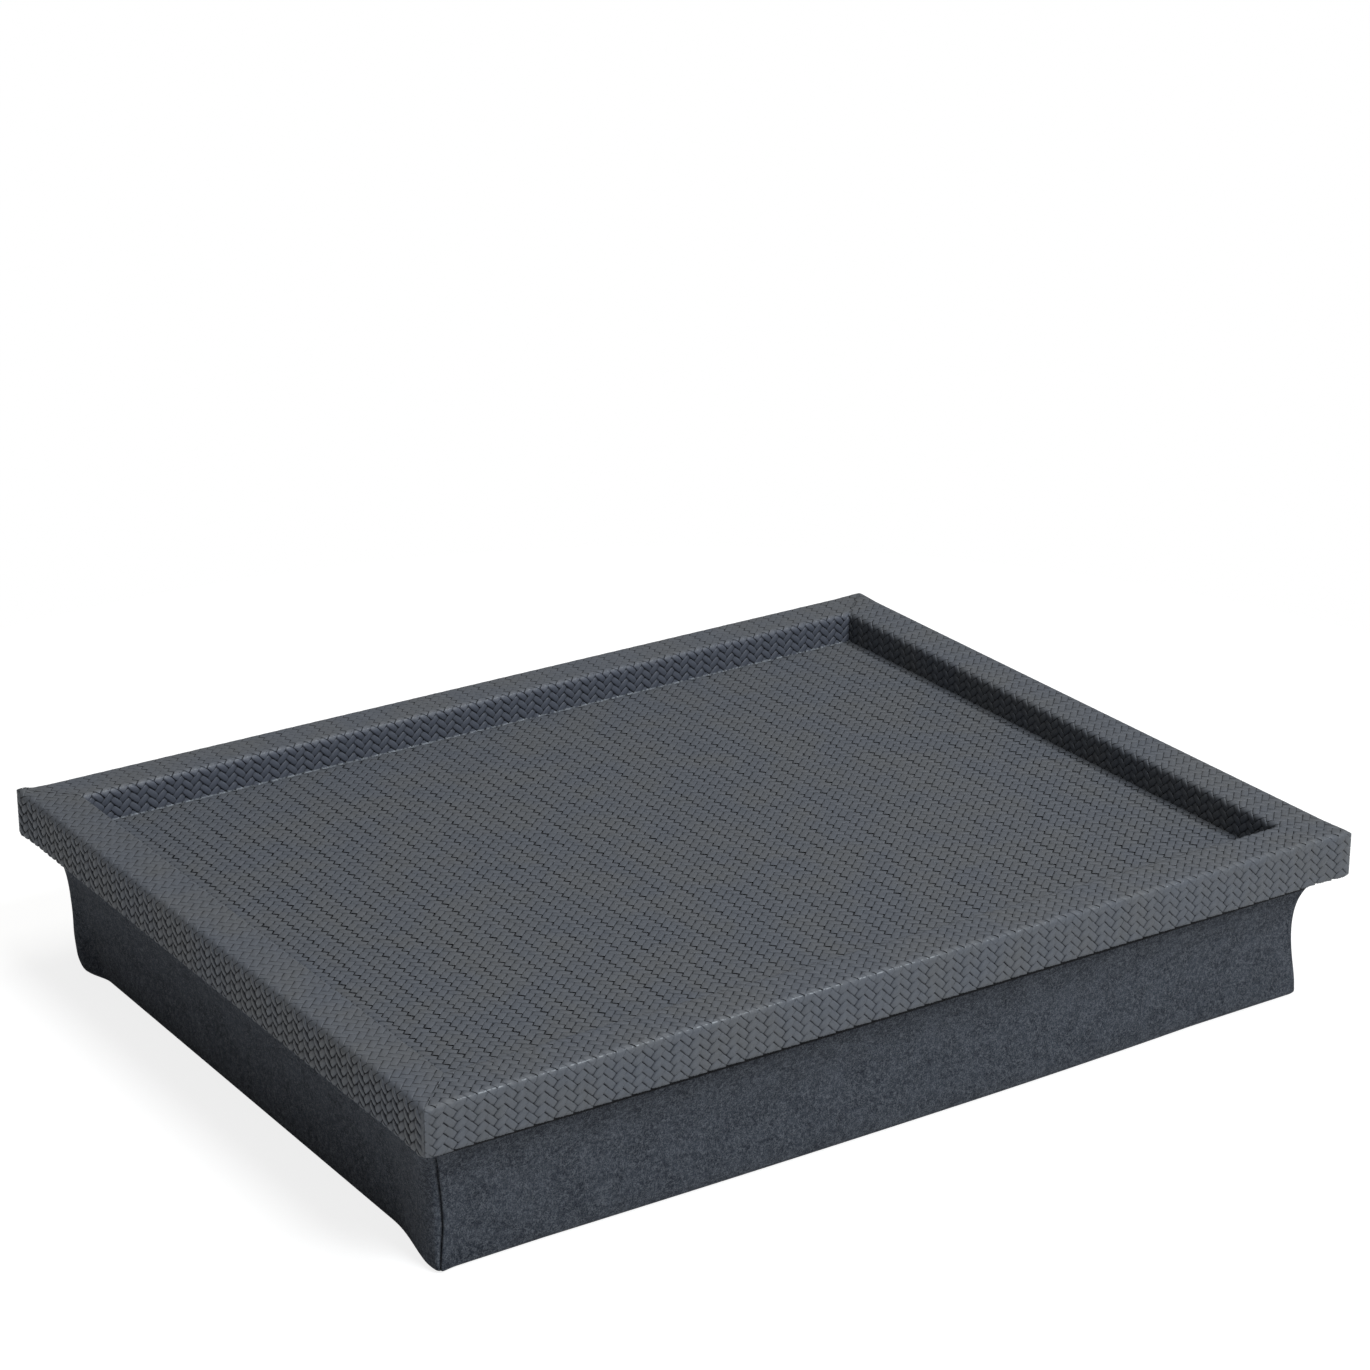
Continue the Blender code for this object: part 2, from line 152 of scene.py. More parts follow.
class ShaderBoard:
    """The node tree of a material or a world, with one method that adds any node."""

    def __init__(self, owner: Material | bpy.types.World) -> None:
        """Empty the owner's node tree."""
        self.owner = owner
        owner.use_nodes = True
        self.tree = owner.node_tree
        self.tree.nodes.clear()

    def node(self, kind: str, inputs: dict | None = None, output: int | str = 0, **settings: Any) -> Shade:
        """Add a node.

        Args:
            kind: The node's type.
            inputs: Values or links by socket name or number.
            output: The output socket that is returned.
            settings: The node's own settings, which are set before its inputs.

        Returns:
            The chosen output.
        """
        made = self.tree.nodes.new(kind)
        assign(made, **settings)
        for name, value in (inputs or {}).items():
            socket = made.inputs[name]
            if isinstance(value, Shade):
                self.tree.links.new(value.socket, socket)
            else:
                socket.default_value = (*value, 1.0) if socket.type == "RGBA" else value
        return Shade(self, made.outputs[output] if made.outputs else None)

    def place(self) -> Shade:
        """Object coordinates, which are the row frame's metres."""
        return self.node("ShaderNodeTexCoord", output="Object")

    def axis(self, place: Shade, index: int) -> Shade:
        """One coordinate of a place."""
        return self.node("ShaderNodeSeparateXYZ", {0: place}, output=index)

    def stretched(self, place: Shade, scale: Triple) -> Shade:
        """A place with each coordinate multiplied."""
        return self.node("ShaderNodeVectorMath", {0: place, 1: scale}, operation="MULTIPLY")

    def noise(self, place: Shade, size: float, detail: float = 3.0, rough: float = 0.5) -> Shade:
        """Noise from 0 to 1.

        Args:
            place: Where it is read.
            size: The size of one blotch, in metres.
            detail: How many finer layers it has.
            rough: How strong those are.

        Returns:
            The noise value.
        """
        inputs = {"Vector": place, "Scale": 1.0 / size, "Detail": detail, "Roughness": rough}
        return self.node("ShaderNodeTexNoise", inputs, output="Fac")

    def attribute(self, name: str) -> Shade:
        """A number that the mesh keeps at its points."""
        return self.node("ShaderNodeAttribute", output="Fac", attribute_name=name)

    def blend(self, share: Shade | float, first: Shade | Colour, second: Shade | Colour) -> Shade:
        """Mix two colours: a share of 0 gives the first and 1 the second."""
        return self.node("ShaderNodeMix", {0: share, 6: first, 7: second}, output=2, data_type="RGBA")

    def bump(self, height: Shade, depth: float, strength: float) -> Shade:
        """A normal bent by a height from 0 to 1, whose depth is in metres."""
        return self.node("ShaderNodeBump", {"Height": height, "Distance": depth, "Strength": strength})

    def principled(self, **inputs: Shade | float | Colour) -> Material:
        """End the tree in a Principled shader.

        Args:
            inputs: Values or links by socket name, with _ for a space.

        Returns:
            The finished material.
        """
        named = {name.replace("_", " "): value for name, value in inputs.items()}
        shader = self.node("ShaderNodeBsdfPrincipled", named)
        self.node("ShaderNodeOutputMaterial", {"Surface": shader})
        return self.owner


def new_board(name: str) -> ShaderBoard:
    """Start a material."""
    return ShaderBoard(bpy.data.materials.new(name))


@dataclass(frozen=True)
class HighlightLine:
    """A thin painted highlight along X or Y on an edge of the leather, where its rounded edge catches the light.

    Attributes:
        offset: Its Y if it runs along X, or its X if it runs along Y.
        z: Its height.
        reach: How far from it the highlight goes.
        strength: How pale it is.
        breaks: How much of it is missing, from 0 to 1.
        strong: Where along it it is strongest.
        weak: Where it has faded to a few specks.
        axis: The axis of the offset: 1 for Y, 0 for X.
        speck: The size of its breaks.
    """

    offset: float
    z: float
    reach: float = 0.00026
    strength: float = 0.42
    breaks: float = 0.42
    strong: float = -0.05
    weak: float = 0.15
    axis: int = 1
    speck: float = 0.0016

    def glint(self, board: ShaderBoard, place: Shade) -> Shade:
        """How strong the painted highlight is.

        Args:
            board: The material's board.
            place: The place.

        Returns:
            A share from 0 to 1.
        """
        aside = board.axis(place, self.axis) - self.offset
        above = board.axis(place, 2) - self.z
        distance = (aside * aside + above * above).root()
        near = distance.ramp(self.reach, self.reach * 0.3)
        faded = board.axis(place, 1 - self.axis).ramp(self.strong, self.weak)
        broken = board.noise(place, self.speck, detail=3.0, rough=0.6) - faded * 0.16
        return near * broken.ramp(self.breaks, self.breaks + 0.14) * self.strength


@dataclass(frozen=True)
class WovenLeather:
    """Slate leather embossed with a twill weave: light crowns, crevices darkened with painted shade, painted
    highlights along some edges and a painted bluish light on the inner back wall.
    """

    highlight_lines: tuple[HighlightLine, ...] = ()
    blue_slate: Colour = (0.080, 0.090, 0.109)
    warm_slate: Colour = (0.091, 0.096, 0.103)
    pale_slate: Colour = (0.113, 0.123, 0.142)
    # The colour of painted shade at the bottom of the weave's crevices.
    crevice: Colour = (0.022, 0.024, 0.029)
    # The colour of the painted highlights along edges.
    highlight_colour: Colour = (0.50, 0.54, 0.58)
    # The colour of a painted bluish light on the inner back wall.
    blue_light_colour: Colour = (0.090, 0.101, 0.131)
    roughness: float = 0.52
    cloud: float = 0.030
    blotch: float = 0.006
    fleck: float = 0.0012
    pore: float = 0.00035
    pore_depth: float = 0.00003

    def material(self) -> Material:
        """Build the leather's material.

        Returns:
            The material.
        """
        board = new_board("woven_leather")
        place = board.place()
        crevice_shade_lift = board.attribute("crevice_shade_lift")
        clouds = board.noise(place, self.cloud, detail=2.0).ramp(0.35, 0.65)
        mottle = board.noise(place, self.blotch, detail=2.0).ramp(0.30, 0.70)
        flecks = board.noise(place, self.fleck, detail=4.0, rough=0.65).ramp(0.30, 0.70)
        ground = board.blend(clouds, self.blue_slate, self.warm_slate)
        face = board.blend(mottle * 0.28 + flecks * 0.44, ground, self.pale_slate)
        # Painted light: a bluish, paler tint on the inner back wall, where bluish light falls.
        face = board.blend(board.attribute("painted_blue_light") * 0.85, face, self.blue_light_colour)
        # Painted shade: the lower a point lies in a crevice, the nearer its colour comes to the crevice shade.
        depth = crevice_shade_lift.ramp(0.0, 0.5)
        colour = board.blend(depth, self.crevice, face)
        # Painted highlights along edges.
        for line in self.highlight_lines:
            colour = board.blend(line.glint(board, place), colour, self.highlight_colour)
        pores = board.noise(place, self.pore, detail=3.0, rough=0.6)
        gloss = self.roughness + (1.0 - depth) * 0.3 + (pores - 0.5) * 0.12
        normal = board.bump(pores, self.pore_depth, 0.8)
        return board.principled(Base_Color=colour, Roughness=gloss, Normal=normal, Specular_IOR_Level=0.40)


@dataclass(frozen=True)
class Suede:
    """Dark slate suede cloth with a mottled nap, with a painted shadow where it is tucked in under the rim."""

    dark: Colour = (0.0125, 0.0160, 0.0240)
    light: Colour = (0.068, 0.078, 0.098)
    pale_fibre: Colour = (0.165, 0.178, 0.198)
    rim_shadow: Colour = (0.003, 0.003, 0.004)
    roughness: float = 0.95
    blotch: float = 0.010
    tuft: float = 0.0018
    fibre: float = 0.0006
    nap: float = 0.0003
    rim_shadow_heights: Pair = (0.0510, 0.0515)

    def material(self) -> Material:
        """Build the suede's material.

        Returns:
            The material.
        """
        board = new_board("suede")
        place = board.place()
        blotches = board.noise(place, self.blotch, detail=4.0, rough=0.6).ramp(0.33, 0.67)
        tufts = board.noise(place, self.tuft, detail=4.0, rough=0.65).ramp(0.34, 0.66)
        fibres = board.noise(place, self.fibre, detail=2.0, rough=0.7).ramp(0.38, 0.62)
        shade = blotches * 0.30 + tufts * 0.27 + fibres * 0.43
        ground = board.blend(shade, self.dark, self.light)
        colour = board.blend(fibres * tufts * 0.54, ground, self.pale_fibre)
        # Painted shadow: a near-black band where the suede runs in under the rim.
        colour = board.blend(board.axis(place, 2).ramp(*self.rim_shadow_heights) * 0.9, colour, self.rim_shadow)
        normal = board.bump(fibres * 0.6 + tufts * 0.4, self.nap, 0.8)
        return board.principled(Base_Color=colour, Roughness=self.roughness, Normal=normal,
                                Specular_IOR_Level=0.10, Sheen_Weight=0.08, Sheen_Roughness=0.5)


@dataclass(frozen=True)
class Plywood:
    """Bare birch plywood with long grain and thin plies."""

    pale: Colour = (0.62, 0.47, 0.30)
    brown: Colour = (0.40, 0.27, 0.15)
    ply: float = 0.0013
    grain: float = 0.05

    def material(self) -> Material:
        """Build the plywood's material.

        Returns:
            The material.
        """
        board = new_board("plywood")
        place = board.place()
        grain = board.noise(board.stretched(place, (1.0, 14.0, 14.0)), self.grain, detail=5.0, rough=0.6)
        plies = board.node("ShaderNodeMath", {0: board.axis(place, 2) / self.ply}, operation="PINGPONG")
        colour = board.blend(grain.ramp(0.3, 0.7) * 0.75 + plies * 0.2, self.pale, self.brown)
        normal = board.bump(grain, 0.0002, 0.4)
        return board.principled(Base_Color=colour, Roughness=0.62 + grain * 0.15, Normal=normal)


@dataclass(frozen=True)
class Cotton:
    """Plain undyed cotton of crossed threads."""

    pale: Colour = (0.70, 0.67, 0.60)
    shadow: Colour = (0.48, 0.45, 0.39)
    thread: float = 0.0006
    slub: float = 0.012

    def material(self) -> Material:
        """Build the cotton's material.

        Returns:
            The material.
        """
        board = new_board("cotton")
        place = board.place()
        waves = [board.node("ShaderNodeMath", {0: board.axis(place, index) * (math.pi / self.thread)},
                            operation="SINE").absolute() for index in range(3)]
        threads = (waves[0] + waves[1] + waves[2]) / 3.0
        slubs = board.noise(place, self.slub, detail=3.0)
        colour = board.blend(threads * 0.6 + slubs * 0.3, self.shadow, self.pale)
        return board.principled(Base_Color=colour, Roughness=0.9, Normal=board.bump(threads, 0.0001, 0.7))


@dataclass(frozen=True)
class ZincSteel:
    """Zinc-plated steel with a fine turned finish."""

    zinc: Colour = (0.62, 0.62, 0.60)
    dull: Colour = (0.42, 0.41, 0.38)
    mark: float = 0.0012

    def material(self) -> Material:
        """Build the steel's material.

        Returns:
            The material.
        """
        board = new_board("zinc_steel")
        turned = board.noise(board.stretched(board.place(), (1.0, 1.0, 9.0)), self.mark, detail=4.0)
        colour = board.blend(turned.ramp(0.35, 0.65), self.zinc, self.dull)
        return board.principled(Base_Color=colour, Roughness=0.30 + turned * 0.2, Metallic=1.0,
                                Normal=board.bump(turned, 0.00005, 0.5))


@dataclass(frozen=True)
class PaleFloor:
    """A pale floor that reads as white from the camera and keeps the object's shadow."""

    tone: Colour = (0.84, 0.84, 0.84)
    seen_tone: Colour = (1.9, 1.9, 1.9)
    near_white: float = 0.82
    shadow_reach: float = 0.45

    def material(self) -> Material:
        """Build the floor's material.

        Returns:
            The material.
        """
        board = new_board("pale_floor")
        rays = board.node("ShaderNodeLightPath", output="Is Camera Ray")
        place = board.place()
        cloudy = board.noise(place, 0.6, detail=1.0) * 0.02
        matt = board.node("ShaderNodeBsdfDiffuse", {"Color": board.blend(rays + cloudy, self.tone, self.seen_tone)})
        white = board.node("ShaderNodeEmission", {"Color": (1.0, 1.0, 1.0), "Strength": 1.0})
        distance = board.node("ShaderNodeVectorMath", {0: place}, output="Value", operation="LENGTH")
        share = rays * (self.near_white + distance.ramp(self.shadow_reach, 2 * self.shadow_reach))
        mixed = board.node("ShaderNodeMixShader", {0: share.lower_of(1.0), 1: matt, 2: white})
        board.node("ShaderNodeOutputMaterial", {"Surface": mixed})
        return board.owner


def deselect() -> None:
    """Leave edit mode and deselect every object."""
    if bpy.context.object and bpy.context.object.mode != "OBJECT":
        bpy.ops.object.mode_set(mode="OBJECT")
    bpy.ops.object.select_all(action="DESELECT")


def take(piece: Piece) -> None:
    """Make a piece the only selected one."""
    deselect()
    piece.select_set(True)
    bpy.context.view_layer.objects.active = piece


def edit(piece: Piece) -> None:
    """Open a piece in edit mode with all its points selected.

    Args:
        piece: The piece.
    """
    take(piece)
    bpy.ops.object.mode_set(mode="EDIT")
    bpy.ops.mesh.select_mode(type="VERT")
    bpy.ops.mesh.select_all(action="SELECT")


def choose(piece: Piece, kind: str, test: Callable[[Any], bool]) -> None:
    """Select only what passes a test in the piece that is in edit mode.

    Args:
        piece: The piece.
        kind: VERT, EDGE or FACE.
        test: Says whether a vertex, edge or face is wanted.
    """
    bpy.ops.mesh.select_mode(type=kind)
    bpy.ops.mesh.select_all(action="DESELECT")
    bm = bmesh.from_edit_mesh(piece.data)
    for element in {"VERT": bm.verts, "EDGE": bm.edges, "FACE": bm.faces}[kind]:
        element.select_set(test(element))
    bm.select_flush_mode()
    bmesh.update_edit_mesh(piece.data)


def span(edge: bmesh.types.BMEdge) -> Vector:
    """The way from one end of an edge to the other."""
    return edge.verts[1].co - edge.verts[0].co


def slice_off(point: Sequence[float], normal: Sequence[float], clear: bool = True) -> None:
    """Bisect the piece that is in edit mode.

    Args:
        point: A point on the plane. It and the normal may leave out a Z of 0.
        normal: The plane's normal; what lies on its side goes if clear is set.
        clear: Whether that side goes, or only an edge loop is added.
    """
    bpy.ops.mesh.select_all(action="SELECT")
    bpy.ops.mesh.bisect(plane_co=(*point, 0.0)[:3], plane_no=(*normal, 0.0)[:3], clear_outer=clear)


def add_block(kind: str, scale: Sequence[float], **settings: Any) -> Piece:
    """Add a primitive of size 1 and apply its scale.

    Args:
        kind: The primitive's name in bpy.ops.mesh.
        scale: Its length along each axis.
        settings: What else the primitive is given.

    Returns:
        The new piece.
    """
    deselect()
    getattr(bpy.ops.mesh, f"primitive_{kind}_add")(size=1.0, **settings)
    piece = bpy.context.object
    piece.scale = scale
    take(piece)
    bpy.ops.object.transform_apply(location=True, rotation=True, scale=True)
    return piece


def new_object(name: str, mesh: bpy.types.Mesh) -> Piece:
    """Put a mesh in the scene, on no body yet."""
    piece = bpy.data.objects.new(name, mesh)
    bpy.context.scene.collection.objects.link(piece)
    return piece


def copy_of(source: Piece, name: str) -> Piece:
    """Copy an object, with its own merged mesh and no material.

    Args:
        source: What is copied; it is left as it is.
        name: The copy's name.

    Returns:
        The copy, on no body yet.
    """
    mesh = source.data.copy()
    mesh.materials.clear()
    piece = new_object(name, mesh)
    merge(piece, 1e-6)
    return piece


def merge(piece: Piece, distance: float) -> None:
    """Merge a piece's points that lie within a distance."""
    edit(piece)
    bpy.ops.mesh.remove_doubles(threshold=distance)
    deselect()


def modify(piece: Piece, kind: str, **settings: Any) -> None:
    """Add a modifier to a piece and apply it.

    Args:
        piece: The piece.
        kind: The modifier's type.
        settings: Its settings.
    """
    take(piece)
    modifier = piece.modifiers.new(kind.lower(), kind)
    assign(modifier, **settings)
    bpy.ops.object.modifier_apply(modifier=modifier.name)


def join(piece: Piece, other: Piece) -> None:
    """Join another piece to a piece."""
    take(piece)
    other.select_set(True)
    bpy.ops.object.join()


def crease(piece: Piece, degrees: float) -> None:
    """Shade a piece smooth but for the edges that are sharper than an angle."""
    take(piece)
    bpy.ops.object.shade_smooth_by_angle(angle=math.radians(degrees))


def rows_of(items: Any, name: str) -> Rows:
    """One vector of every item as rows."""
    flat = np.empty(len(items) * 3)
    items.foreach_get(name, flat)
    return flat.reshape(-1, 3)


def points_of(piece: Piece) -> Rows:
    """All of a piece's points as rows."""
    return rows_of(piece.data.vertices, "co")


def put_points(piece: Piece, points: Rows) -> None:
    """Write all of a piece's points back."""
    piece.data.vertices.foreach_set("co", points.astype(np.float32).ravel())
    piece.data.update()


def put_value(piece: Piece, name: str, values: Rows) -> None:
    """Keep one number at each of a piece's points."""
    layer = piece.data.attributes.new(name, "FLOAT", "POINT")
    layer.data.foreach_set("value", values.astype(np.float32))


def rise(values: Rows, low: float, high: float) -> Rows:
    """Go smoothly from 0 at low to 1 at high."""
    share = np.clip((values - low) / (high - low), 0.0, 1.0)
    return share * share * (3.0 - 2.0 * share)


def fall(values: Rows, low: float, high: float) -> Rows:
    """Go smoothly from 1 at low to 0 at high."""
    return 1.0 - rise(values, low, high)


def quarter_round(share: Rows) -> Rows:
    """Go from 0 to 1 like a quarter of a circle that ends upright."""
    return 1.0 - np.sqrt(1.0 - share ** 2)


def dress(piece: Piece, material: Material, replaced: Iterable[str]) -> None:
    """Give a finished piece its material and its body, and hide the CAD nodes that it stands for.

    Args:
        piece: The piece, in place.
        material: Its material.
        replaced: The CAD nodes that it stands for.
    """
    piece.data.materials.clear()
    piece.data.materials.append(material)
    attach(piece, BODY)
    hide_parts(*replaced)
    LOG.info("%s: %d points, %d faces", piece.name, len(piece.data.vertices), len(piece.data.polygons))


@dataclass(frozen=True)
class TrayFrame:
    """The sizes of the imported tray."""

    half_x: float
    half_y: float
    rim_top: float
    rim_bottom: float
    rim_width: float
    floor_low: Vector
    floor_high: Vector
    cover_top_inset: float

    @classmethod
    def read(cls) -> "TrayFrame":
        """Read the sizes from the CAD boxes.

        Returns:
            The sizes.
        """
        low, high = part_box("left_rail_leather")
        half_y = -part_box("front_rail_leather")[0].y
        panel_low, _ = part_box("front_suede_panel")
        return cls(-low.x, half_y, high.z, low.z, high.x - low.x, *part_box("floor_leather"), panel_low.y + half_y)

    @property
    def half_size(self) -> Rows:
        """Half its length and half its depth."""
        return np.array([self.half_x, self.half_y])

    def half_sizes(self, side: Side) -> Pair:
        """Half the length along a side and half the depth across it."""
        return np.abs(side.along) @ self.half_size, np.abs(side.outwards) @ self.half_size


@dataclass(frozen=True)
class Pillow:
    """How a stretch of strip is rounded off.

    Attributes:
        ends: How deep its first and its second end sink, as shares of the crown.
        sides: How deep its first and its second long side sink.
        narrowing: How far its first and its second end are narrowed.
        widening: Its width as a share of what its crevices leave.
        beside: How much the sides sink where a strip of the same lean lies against them, as a share.
        power: How near its edges the sinking stays.
        shift: How far it is moved towards its second end, as a share of its width.
    """

    ends: Pair = (0.93, 0.93)
    sides: Pair = (0.42, 0.42)
    narrowing: Pair = (0.14, 0.14)
    widening: float = 1.0
    beside: float = 1.0
    power: float = 3.0
    shift: float = 0.0

    def shape(self, points: Rows, weave: "Weave", lean: int) -> Rows:
        """Give a flat stretch of strip its rounding.

        Args:
            points: Its points as (along, across, height), with the skirt below.
            weave: The weave that it is in.
            lean: -1 if it leans left and 1 if it leans right.

        Returns:
            The new points.
        """
        along, across = points[:, 0] / weave.width, points[:, 1] / (weave.width / 2)
        end_sink = np.where(along < 0, *self.ends) * np.minimum(np.abs(along), 1.0) ** self.power
        side_sink = np.where(across < 0, *self.sides) * np.minimum(np.abs(across), 1.0) ** self.power
        side_sink *= 1.0 - (1.0 - self.beside) * rise(lean * along * np.sign(across), -0.12, 0.12)
        shaped = points.copy()
        top = points[:, 2] > -weave.crown / 2
        shaped[:, 2] = np.where(top, weave.crown * (1.0 - side_sink) * (1.0 - end_sink), -weave.root)
        shaped[:, 0] += self.shift * weave.width
        shaped[:, 1] *= self.widening * (1.0 - np.where(along < 0, *self.narrowing) * along ** 4)
        return shaped


BRUSHED = (Pillow(ends=(0.22, 0.96), sides=(0.80, 0.05), narrowing=(0.10, 0.16), widening=1.03, beside=0.10),
           Pillow(ends=(0.90, 0.15), sides=(0.05, 0.05), narrowing=(0.16, 0.0), widening=1.13, beside=0.0))
ROUNDED = (Pillow(ends=(0.92, 0.80), sides=(0.72, 0.35), narrowing=(0.30, 0.20)),
           Pillow(ends=(0.90, 0.85), sides=(0.55, 0.30), narrowing=(0.28, 0.16)))
FLUSH = (Pillow(ends=(0.55, 0.55), sides=(0.80, 0.80), narrowing=(0.04, 0.04), widening=1.02, beside=0.45,
                power=4.0),) * 2
LAID_FLAT = (Pillow(ends=(1.0, 0.35), sides=(0.60, 0.60), narrowing=(0.04, 0.04), widening=1.02, beside=0.25,
                    power=5.0, shift=0.040),
             Pillow(ends=(0.55, 0.55), sides=(0.10, 0.80), narrowing=(0.04, 0.04), widening=1.03, beside=0.03,
                    power=5.0))


@dataclass(frozen=True)
class Weave:
    """Two-over-two twill turned by 45 degrees: columns of strips that lean left and right in turn.

    One pillowed stretch of strip is modelled once for each lean and laid thousands of times.

    Attributes:
        width: The width of a strip between the middles of its crevices.
        crevice: The width of a crevice along it.
        tuck: How far its ends go under the strips that cross it.
        crown: How far its middle stands over the leather.
        root: How far its skirt goes under the leather's face.
        cuts: Faces along and across it.
        crowding: How strongly its cuts crowd towards its edges, from 1.
        pillows: The rounding of the strips that lean left and of those that lean right.
        across_stretch: How far the pattern is stretched across its columns.
        play: How far a strip may lie out of its place.
        unevenness: How much the strips differ in height, as a share.
    """

    width: float = 0.0031
    crevice: float = 0.00012
    tuck: float = 0.00025
    crown: float = 0.00052
    root: float = 0.00015
    cuts: tuple[int, int] = (6, 4)
    crowding: float = 1.0
    pillows: tuple[Pillow, Pillow] = (Pillow(), Pillow())
    across_stretch: float = 1.0
    play: float = 0.00007
    unevenness: float = 0.10

    def model(self) -> tuple[list[Rows], Rows]:
        """Model a stretch of strip flat round the origin, along X.

        Returns:
            Its points as (along, across, height) for each lean, and its faces.
        """
        scale = (2 * (self.width + self.tuck), self.width - self.crevice, 1.0)
        piece = add_block("grid", scale, x_subdivisions=self.cuts[0], y_subdivisions=self.cuts[1])
        edit(piece)
        choose(piece, "EDGE", lambda edge: edge.is_boundary and abs(span(edge).y) < 1e-6)
        bpy.ops.mesh.extrude_region_move(TRANSFORM_OT_translate={"value": (0.0, 0.0, -self.crown)})
        bpy.ops.mesh.select_all(action="SELECT")
        bpy.ops.mesh.normals_make_consistent(inside=False)
        deselect()
        points = points_of(piece)
        faces = np.array([tuple(face.vertices) for face in piece.data.polygons])
        bpy.data.objects.remove(piece, do_unlink=True)
        first, second, third = points[faces[0][:3]]
        if np.cross(second - first, third - second)[2] < 0:
            faces = faces[:, ::-1]
        halves = np.abs(points[:, :2]).max(axis=0)
        inwards = (1.0 - np.abs(points[:, :2]) / halves) ** self.crowding
        points[:, :2] = np.sign(points[:, :2]) * halves * (1.0 - inwards)
        return [pillow.shape(points, self, lean) for pillow, lean in zip(self.pillows, (-1, 1))], faces

    def lay(self, low: Pair, high: Pair, keep: Callable[[Rows], Rows]) -> Laid:
        """Lay strips over a flat stretch of leather.

        Args:
            low: The lowest (across columns, along columns) that is covered.
            high: The highest.
            keep: Says which of the strips' middles are wanted.

        Returns:
            Points as (across, along, height), faces, and each point's height as a share of the crown.
        """
        shapes, faces = self.model()
        chance = np.random.default_rng(SEED)
        step = self.width / math.sqrt(2)
        spacing = np.array([2 * step * self.across_stretch, 2 * step])
        first = np.floor(np.divide(low, spacing)).astype(int) - 1
        last = np.ceil(np.divide(high, spacing)).astype(int) + 2
        columns, rows = np.arange(first[0], last[0]), np.arange(first[1], last[1])
        parts = []
        for lean, points in enumerate(shapes):
            turn = math.radians(45 if lean else -45)
            shape = points.copy()
            shape[:, 0] = (points[:, 0] * math.cos(turn) - points[:, 1] * math.sin(turn)) * self.across_stretch
            shape[:, 1] = points[:, 0] * math.sin(turn) + points[:, 1] * math.cos(turn)
            grid = np.stack(np.meshgrid(columns[columns % 2 == lean], rows, indexing="ij"), -1).reshape(-1, 2)
            middles = (grid + (0.0, 0.25 if lean else -0.25)) * spacing
            middles = middles[keep(middles)]
            laid = np.repeat(shape[None], len(middles), 0)
            heights = 1.0 + self.unevenness * chance.uniform(-1.0, 1.0, (len(middles), 1))
            laid[:, :, 2] *= np.where(laid[:, :, 2] > 0, heights, 1.0)
            laid[:, :, :2] += (middles + self.play * chance.uniform(-1.0, 1.0, middles.shape))[:, None, :]
            starts = np.arange(len(middles)) * len(shape)
            lifts = np.clip(np.tile(points[:, 2], len(middles)) / self.crown, 0.0, 1.0)
            parts.append((laid.reshape(-1, 3), (faces + starts[:, None, None]).reshape(-1, faces.shape[1]), lifts))
        return join_laid(parts)


def join_laid(parts: list[Laid]) -> Laid:
    """Join several stretches of laid strips into one.

    Args:
        parts: The points, faces and shares of each.

    Returns:
        All points, faces and shares.
    """
    points, faces, lifts = zip(*parts)
    starts = np.cumsum([0] + [len(stretch) for stretch in points])
    numbered = [rows + start for rows, start in zip(faces, starts)]
    return np.concatenate(points), np.concatenate(numbered), np.concatenate(lifts)


def mesh_object(name: str, points: Rows, faces: Rows) -> Piece:
    """Make an object from points and four-sided faces, shaded smooth.

    Args:
        name: The object's name.
        points: Its points.
        faces: Its faces, as rows of point numbers.

    Returns:
        The object.
    """
    mesh = bpy.data.meshes.new(name)
    mesh.from_pydata(points.tolist(), [], faces.tolist())
    mesh.shade_smooth()
    return new_object(name, mesh)


@dataclass
class SectionPath:
    """The outline of a rail's leather across the rail, as (inset, height) with outward normals.

    Attributes:
        corners: Its corner points with the rounding of each.
        grain: The distance between samples.
        length: Its length.
    """

    corners: list[Triple]
    grain: float = 0.00005
    length: float = field(init=False)

    def __post_init__(self) -> None:
        """Sample the outline."""
        points: list[Sequence[float]] = [self.corners[0][:2]]
        for before, here, after in zip(self.corners, self.corners[1:], self.corners[2:]):
            corner, radius = np.array(here[:2]), here[2]
            back, on = np.array(before[:2]) - corner, np.array(after[:2]) - corner
            back, on = back / np.linalg.norm(back), on / np.linalg.norm(on)
            centre = corner + (back + on) * radius
            for angle in np.radians(90.0 * np.arange(13) / 12):
                points.append(centre - on * radius * math.cos(angle) - back * radius * math.sin(angle))
        points.append(self.corners[-1][:2])
        line = np.array(points)
        travelled = np.concatenate([[0.0], np.cumsum(np.linalg.norm(np.diff(line, axis=0), axis=1))])
        self.length = float(travelled[-1])
        self.stops = np.arange(0.0, self.length, self.grain)
        self.line = np.stack([np.interp(self.stops, travelled, line[:, index]) for index in (0, 1)], -1)
        ways = np.gradient(self.line, axis=0)
        ways /= np.linalg.norm(ways, axis=1, keepdims=True)
        self.normals = np.stack([-ways[:, 1], ways[:, 0]], -1)

    def at(self, travelled: Rows) -> tuple[Rows, Rows]:
        """Find places along the outline.

        Args:
            travelled: Distances from its start.

        Returns:
            The (inset, height) places and their outward normals.
        """
        places, normals = ([np.interp(travelled, self.stops, rows[:, index]) for index in (0, 1)]
                           for rows in (self.line, self.normals))
        return np.stack(places, -1), np.stack(normals, -1)

    def corner_stop(self, number: int) -> float:
        """The distance from its start to the middle of a corner's rounding."""
        gaps = np.hypot(*(self.line - self.corners[number][:2]).T)
        return float(self.stops[int(np.argmin(gaps))])


